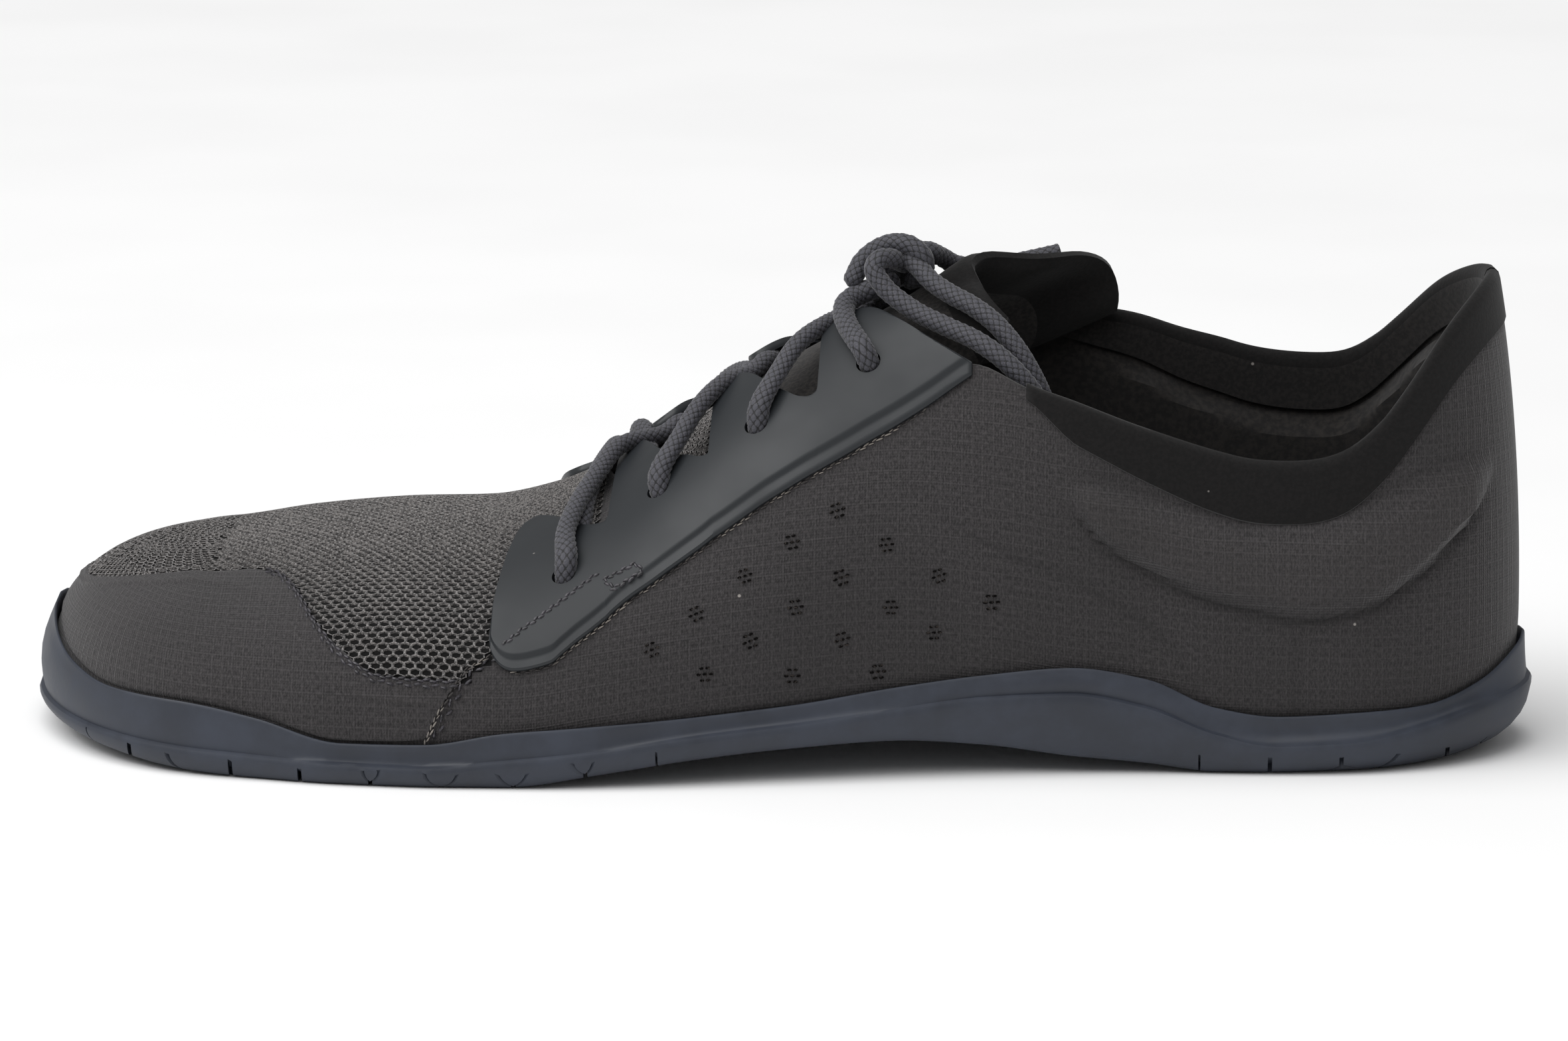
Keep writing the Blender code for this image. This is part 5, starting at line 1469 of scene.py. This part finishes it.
def crossing_route(k, side):
    """One strand: out of its lace hole, over the eyestay, down onto the tongue, under the far edge."""
    rest_from, rest_at, stop = STRANDS[k]
    if side > 0:
        rest_from, rest_at = rest_from - 0.10, rest_at - 0.06
    (u0, t0), (v, _) = EYELETS[k], EYELETS[k + 1]
    lace = sizes().lace_thickness
    over = (SEAT + OVERLAY) * (1.0 if side < 0 else 0.5) + 0.48 * lace
    rest = 0.5 * lace - WALL - FIT
    mine = MEDIAL_SHIFT if side > 0 else 0.0
    start = np.array([u0 + mine, t0])
    end = np.array([v - DIVE_AHEAD + (0.0 if side > 0 else MEDIAL_SHIFT), 2 - stop])
    way = (end - start) / np.linalg.norm(end - start)
    knots = [(start[0] - 0.001, t0 - 0.006, -0.0022, 0.9, 0.1), (start[0], t0, 0.0008, 1.0, 0.0),
             (start[0] + 0.025 * way[0], t0 + 0.028, over * 0.88, 1.06, 0.15)]
    for share in (0.22, 0.40, 0.58, 0.76, 0.92):
        u, w = start + (end - start) * share
        u -= STRAND_BEND[k][0 if side < 0 else 1] * 4 * share * (1 - share)
        down = smooth_step(w, rest_from, rest_at)
        knots.append((u, w, over + (rest - over) * down, 0.93, 0.10))
    knots.append((end[0], end[1] + 0.02, rest - 0.0002, 0.92, 0.2))
    knots.append((end[0] + 0.012 * way[0], end[1] + 0.075, rest - 0.0006, 0.9, 0.35))
    route = []
    for u, w, lift, scale, flat in knots:
        if side > 0:
            w = 2 - w
        place_side, t = arch(w)
        point = skin(place_side, u, t, lift)
        route.append((*point, lace * scale, flat))
    press = facing(LATERAL, float(0.5 * (start[0] + end[0])), 0.97)
    return route, press


class SHOE_OT_lacing(bpy.types.Operator):
    """Braided lace through the eyestays: three crossings, the front bar and the two tails"""
    bl_idname = "shoe.lacing"
    bl_label = "Lacing"

    def execute(self, context):
        lace = sizes().lace_thickness
        for k in range(3):
            routes = [crossing_route(k, LATERAL), crossing_route(k, MEDIAL)]
            if k == 0:
                routes.append(self.front_bar(lace))
            laid_lace(f"lace_crossing_{k + 1}", routes, f"lace_cross_{k + 1}")
        u, t = EYELETS[3]
        low, normal = bare(LATERAL, u, t), facing(LATERAL, u, t)
        outer = [(*(low + normal * lift), lace, 0.1) for lift in (-0.002, 0.0008)]
        outer += route_of(TAIL_OUTER, lace * 1.02)
        laid_lace("lace_tail_outer", [(outer, None)], "lace_tail_lateral")
        u += MEDIAL_SHIFT
        low, normal = bare(MEDIAL, u, t), facing(MEDIAL, u, t)
        inner = [(*(low + normal * lift), lace * scale, 0.1)
                 for lift, scale in ((-0.002, 0.9), (0.001, 1.0), (0.0036, 1.1))]
        for v, w, lift in ((0.576, 1.20, 0.0042), (0.577, 1.13, 0.0044), (0.578, 1.06, 0.0046)):
            side, q = arch(w)
            inner.append((*skin(side, v, q, lift), lace * 0.93, 0.0))
        inner.append((0.0232, 0.0005, 0.0885, lace * 0.93, 0.0))
        laid_lace("lace_tail_inner", [(inner, None)], "lace_tail_medial")
        return {"FINISHED"}

    def front_bar(self, lace):
        """The lace's middle, from under one foremost hole over the mesh to the other."""
        route = []
        for u, w, lift in ((0.3700, 0.665, -0.0012), (0.3745, 0.72, 0.0004), (0.3790, 0.80, 0.0022),
                           (0.3840, 0.90, 0.0023), (0.3880, 1.00, 0.0021), (0.3905, 1.10, 0.0022),
                           (0.3900, 1.20, 0.0020), (0.3870, 1.28, 0.0004), (0.3840, 1.34, -0.0012)):
            side, t = arch(w)
            route.append((*skin(side, u, t, lift), lace * 0.92, 0.1))
        return route, facing(LATERAL, 0.384, 0.9)


class SHOE_OT_bow(bpy.types.Operator):
    """Bow: the knot's turn and the loops tucked in beside the tongue, as free braided cord"""
    bl_idname = "shoe.bow"
    bl_label = "Bow"

    def execute(self, context):
        lace = sizes().loop_thickness
        turns = [(route_of(points, lace), None) for points in (KNOT_ARC, KNOT_DROP)]
        knot = laid_lace("bow_knot", turns, "lace_knot")
        loops = (("bow_loop_low", LOOP_LOW, "lace_loop_1", [knot]),
                 ("bow_loop_high", LOOP_HIGH, "lace_loop_2", []),
                 ("bow_loop_inner", LOOP_INNER, "lace_loop_3", []))
        for name, points, node, carried in loops:
            route = route_of(points, lace)
            piece = laid_lace(name, [(route, None)], node)
        return {"FINISHED"}


class SHOE_OT_stage(bpy.types.Operator):
    """Pale floor, even studio light and the camera beside the shoe"""
    bl_idname = "shoe.stage"
    bl_label = "Stage"

    def execute(self, context):
        scene = context.scene
        self.floor(context)
        world = bpy.data.worlds.new("studio_white")
        world.use_nodes = True
        glow = world.node_tree.nodes["Background"].inputs
        glow["Color"].default_value, glow["Strength"].default_value = (1, 1, 1, 1), 0.34
        scene.world = world
        scrim = bpy.data.lights.new("overhead_scrim", "SUN")
        scrim.angle, scrim.energy = math.radians(60), 2.02
        strip = bpy.data.lights.new("front_strip", "AREA")
        strip.shape, strip.size, strip.size_y, strip.energy = "RECTANGLE", 1.4, 0.35, 3.0
        toe = bpy.data.lights.new("toe_side_softbox", "AREA")
        toe.size, toe.energy = 0.7, 5.0
        for light, place in ((scrim, (-0.28, -0.22, 1.0)), (strip, (-0.3, -1.0, 1.0)),
                             (toe, (-1.05, -0.45, 0.85))):
            lamp = bpy.data.objects.new(light.name, light)
            lamp.location = place
            lamp.rotation_mode = "QUATERNION"
            lamp.rotation_quaternion = Vector(place).to_track_quat("Z", "Y")
            scene.collection.objects.link(lamp)
        camera = bpy.data.objects.new("camera", bpy.data.cameras.new("camera"))
        camera.data.lens, camera.data.sensor_width = CAMERA_LENS, 36.0
        camera.data.clip_start, camera.data.clip_end = 0.05, 30.0
        turn, tilt = math.radians(CAMERA_TURN), math.radians(CAMERA_TILT)
        back = Vector((math.sin(turn) * math.cos(tilt), -math.cos(turn) * math.cos(tilt),
                       math.sin(tilt)))
        camera.location = Vector(CAMERA_TARGET) + back * CAMERA_DISTANCE
        camera.rotation_mode = "QUATERNION"
        camera.rotation_quaternion = back.to_track_quat("Z", "Y")
        scene.collection.objects.link(camera)
        scene.camera = camera
        scene.view_settings.view_transform = "Standard"
        return {"FINISHED"}

    def floor(self, context):
        made = flecked("matt_paper_floor", 9.0, 0.3, 0.7, "#f6f6f6", "#f3f3f3", Roughness=0.9)
        mesh = bpy.data.meshes.new("paper_floor")
        mesh.from_pydata([(-6, -6, 0), (6, -6, 0), (6, 6, 0), (-6, 6, 0)], [], [(0, 1, 2, 3)])
        mesh.materials.append(made)
        floor = bpy.data.objects.new("paper_floor", mesh)
        context.scene.collection.objects.link(floor)


def length(name, description, default, least, most):
    """A length in metres that a user may set."""
    return FloatProperty(name=name, description=description, unit="LENGTH", default=default,
                         min=least, max=most)


class ShoeSizes(bpy.types.PropertyGroup):
    """Sizes of the fine pieces"""
    lace_thickness: length("Lace", "Thickness of the lace", 0.0041, 0.002, 0.008)
    loop_thickness: length("Bow lace", "Thickness of the lace in the bow", 0.0038, 0.002, 0.008)
    lug_pitch: length("Lugs", "Distance between hexagonal lugs", 0.0134, 0.008, 0.03)
    cell_width: length("Cell length", "Mesh cell along the foot", 0.00215, 0.001, 0.006)
    cell_height: length("Cell height", "Mesh cell up the foot", 0.00176, 0.001, 0.006)
    cell_bar: length("Cell bar", "Half width of the yarn between cells", 0.00029, 0.0001, 0.001)
    cluster_size: length("Perforations", "Width of a perforation cluster", 0.0031, 0.001, 0.006)
    stitch_pitch: length("Stitch", "Length of one stitch", 0.0017, 0.0008, 0.005)
    thread_thickness: length("Thread", "Thickness of the sewing thread", 0.00052, 0.0002, 0.001)


class ShoeColours(bpy.types.PropertyGroup):
    """Main colours, as sRGB hex values"""
    rubber: StringProperty(name="Rubber", description="Sole", default="#272b34")
    cloth_dark: StringProperty(name="Cloth, dark", description="Darker yarn", default="#1a1819")
    cloth_light: StringProperty(name="Cloth, light", description="Lighter yarn", default="#3d3a3b")
    mesh_yarn: StringProperty(name="Mesh", description="Open mesh of the vamp", default="#85817f")
    film: StringProperty(name="Film", description="Eyestays", default="#232629")
    suede: StringProperty(name="Suede", description="Collar and tongue edge", default="#060505")
    felt: StringProperty(name="Felt", description="Tongue", default="#292624")
    lace: StringProperty(name="Lace", description="Braided lace", default="#424249")


PIECES = (SHOE_OT_stage, SHOE_OT_lacing, SHOE_OT_bow, SHOE_OT_moulded_sole, SHOE_OT_woven_upper,
          SHOE_OT_toe_cap, SHOE_OT_honeycomb_mesh, SHOE_OT_eyestays, SHOE_OT_collar,
          SHOE_OT_tongue, SHOE_OT_insole, SHOE_OT_perforations, SHOE_OT_stitching)


class SHOE_PT_panel(bpy.types.Panel):
    """Lists the pieces of the shoe"""
    bl_label = "Barefoot shoe"
    bl_idname = "SHOE_PT_panel"
    bl_space_type = "VIEW_3D"
    bl_region_type = "UI"
    bl_category = "Shoe"

    def draw(self, context):
        for group in (context.scene.shoe_sizes, context.scene.shoe_colours):
            for name in group.__annotations__:
                self.layout.prop(group, name)
        for piece in PIECES:
            self.layout.operator(piece.bl_idname)


CLASSES = (ShoeSizes, ShoeColours) + PIECES + (SHOE_PT_panel,)


def register():
    for item in CLASSES:
        bpy.utils.register_class(item)
    bpy.types.Scene.shoe_sizes = PointerProperty(type=ShoeSizes)
    bpy.types.Scene.shoe_colours = PointerProperty(type=ShoeColours)


def unregister():
    del bpy.types.Scene.shoe_colours
    del bpy.types.Scene.shoe_sizes
    for item in reversed(CLASSES):
        bpy.utils.unregister_class(item)


def main():
    register()
    bpy.ops.shoe.stage()
    bpy.ops.shoe.lacing()
    bpy.ops.shoe.bow()
    bpy.ops.shoe.moulded_sole()
    bpy.ops.shoe.woven_upper()
    bpy.ops.shoe.toe_cap()
    bpy.ops.shoe.honeycomb_mesh()
    bpy.ops.shoe.eyestays()
    bpy.ops.shoe.collar()
    bpy.ops.shoe.tongue()
    bpy.ops.shoe.insole()
    bpy.ops.shoe.perforations()
    bpy.ops.shoe.stitching()


if __name__ == "__main__":
    main()
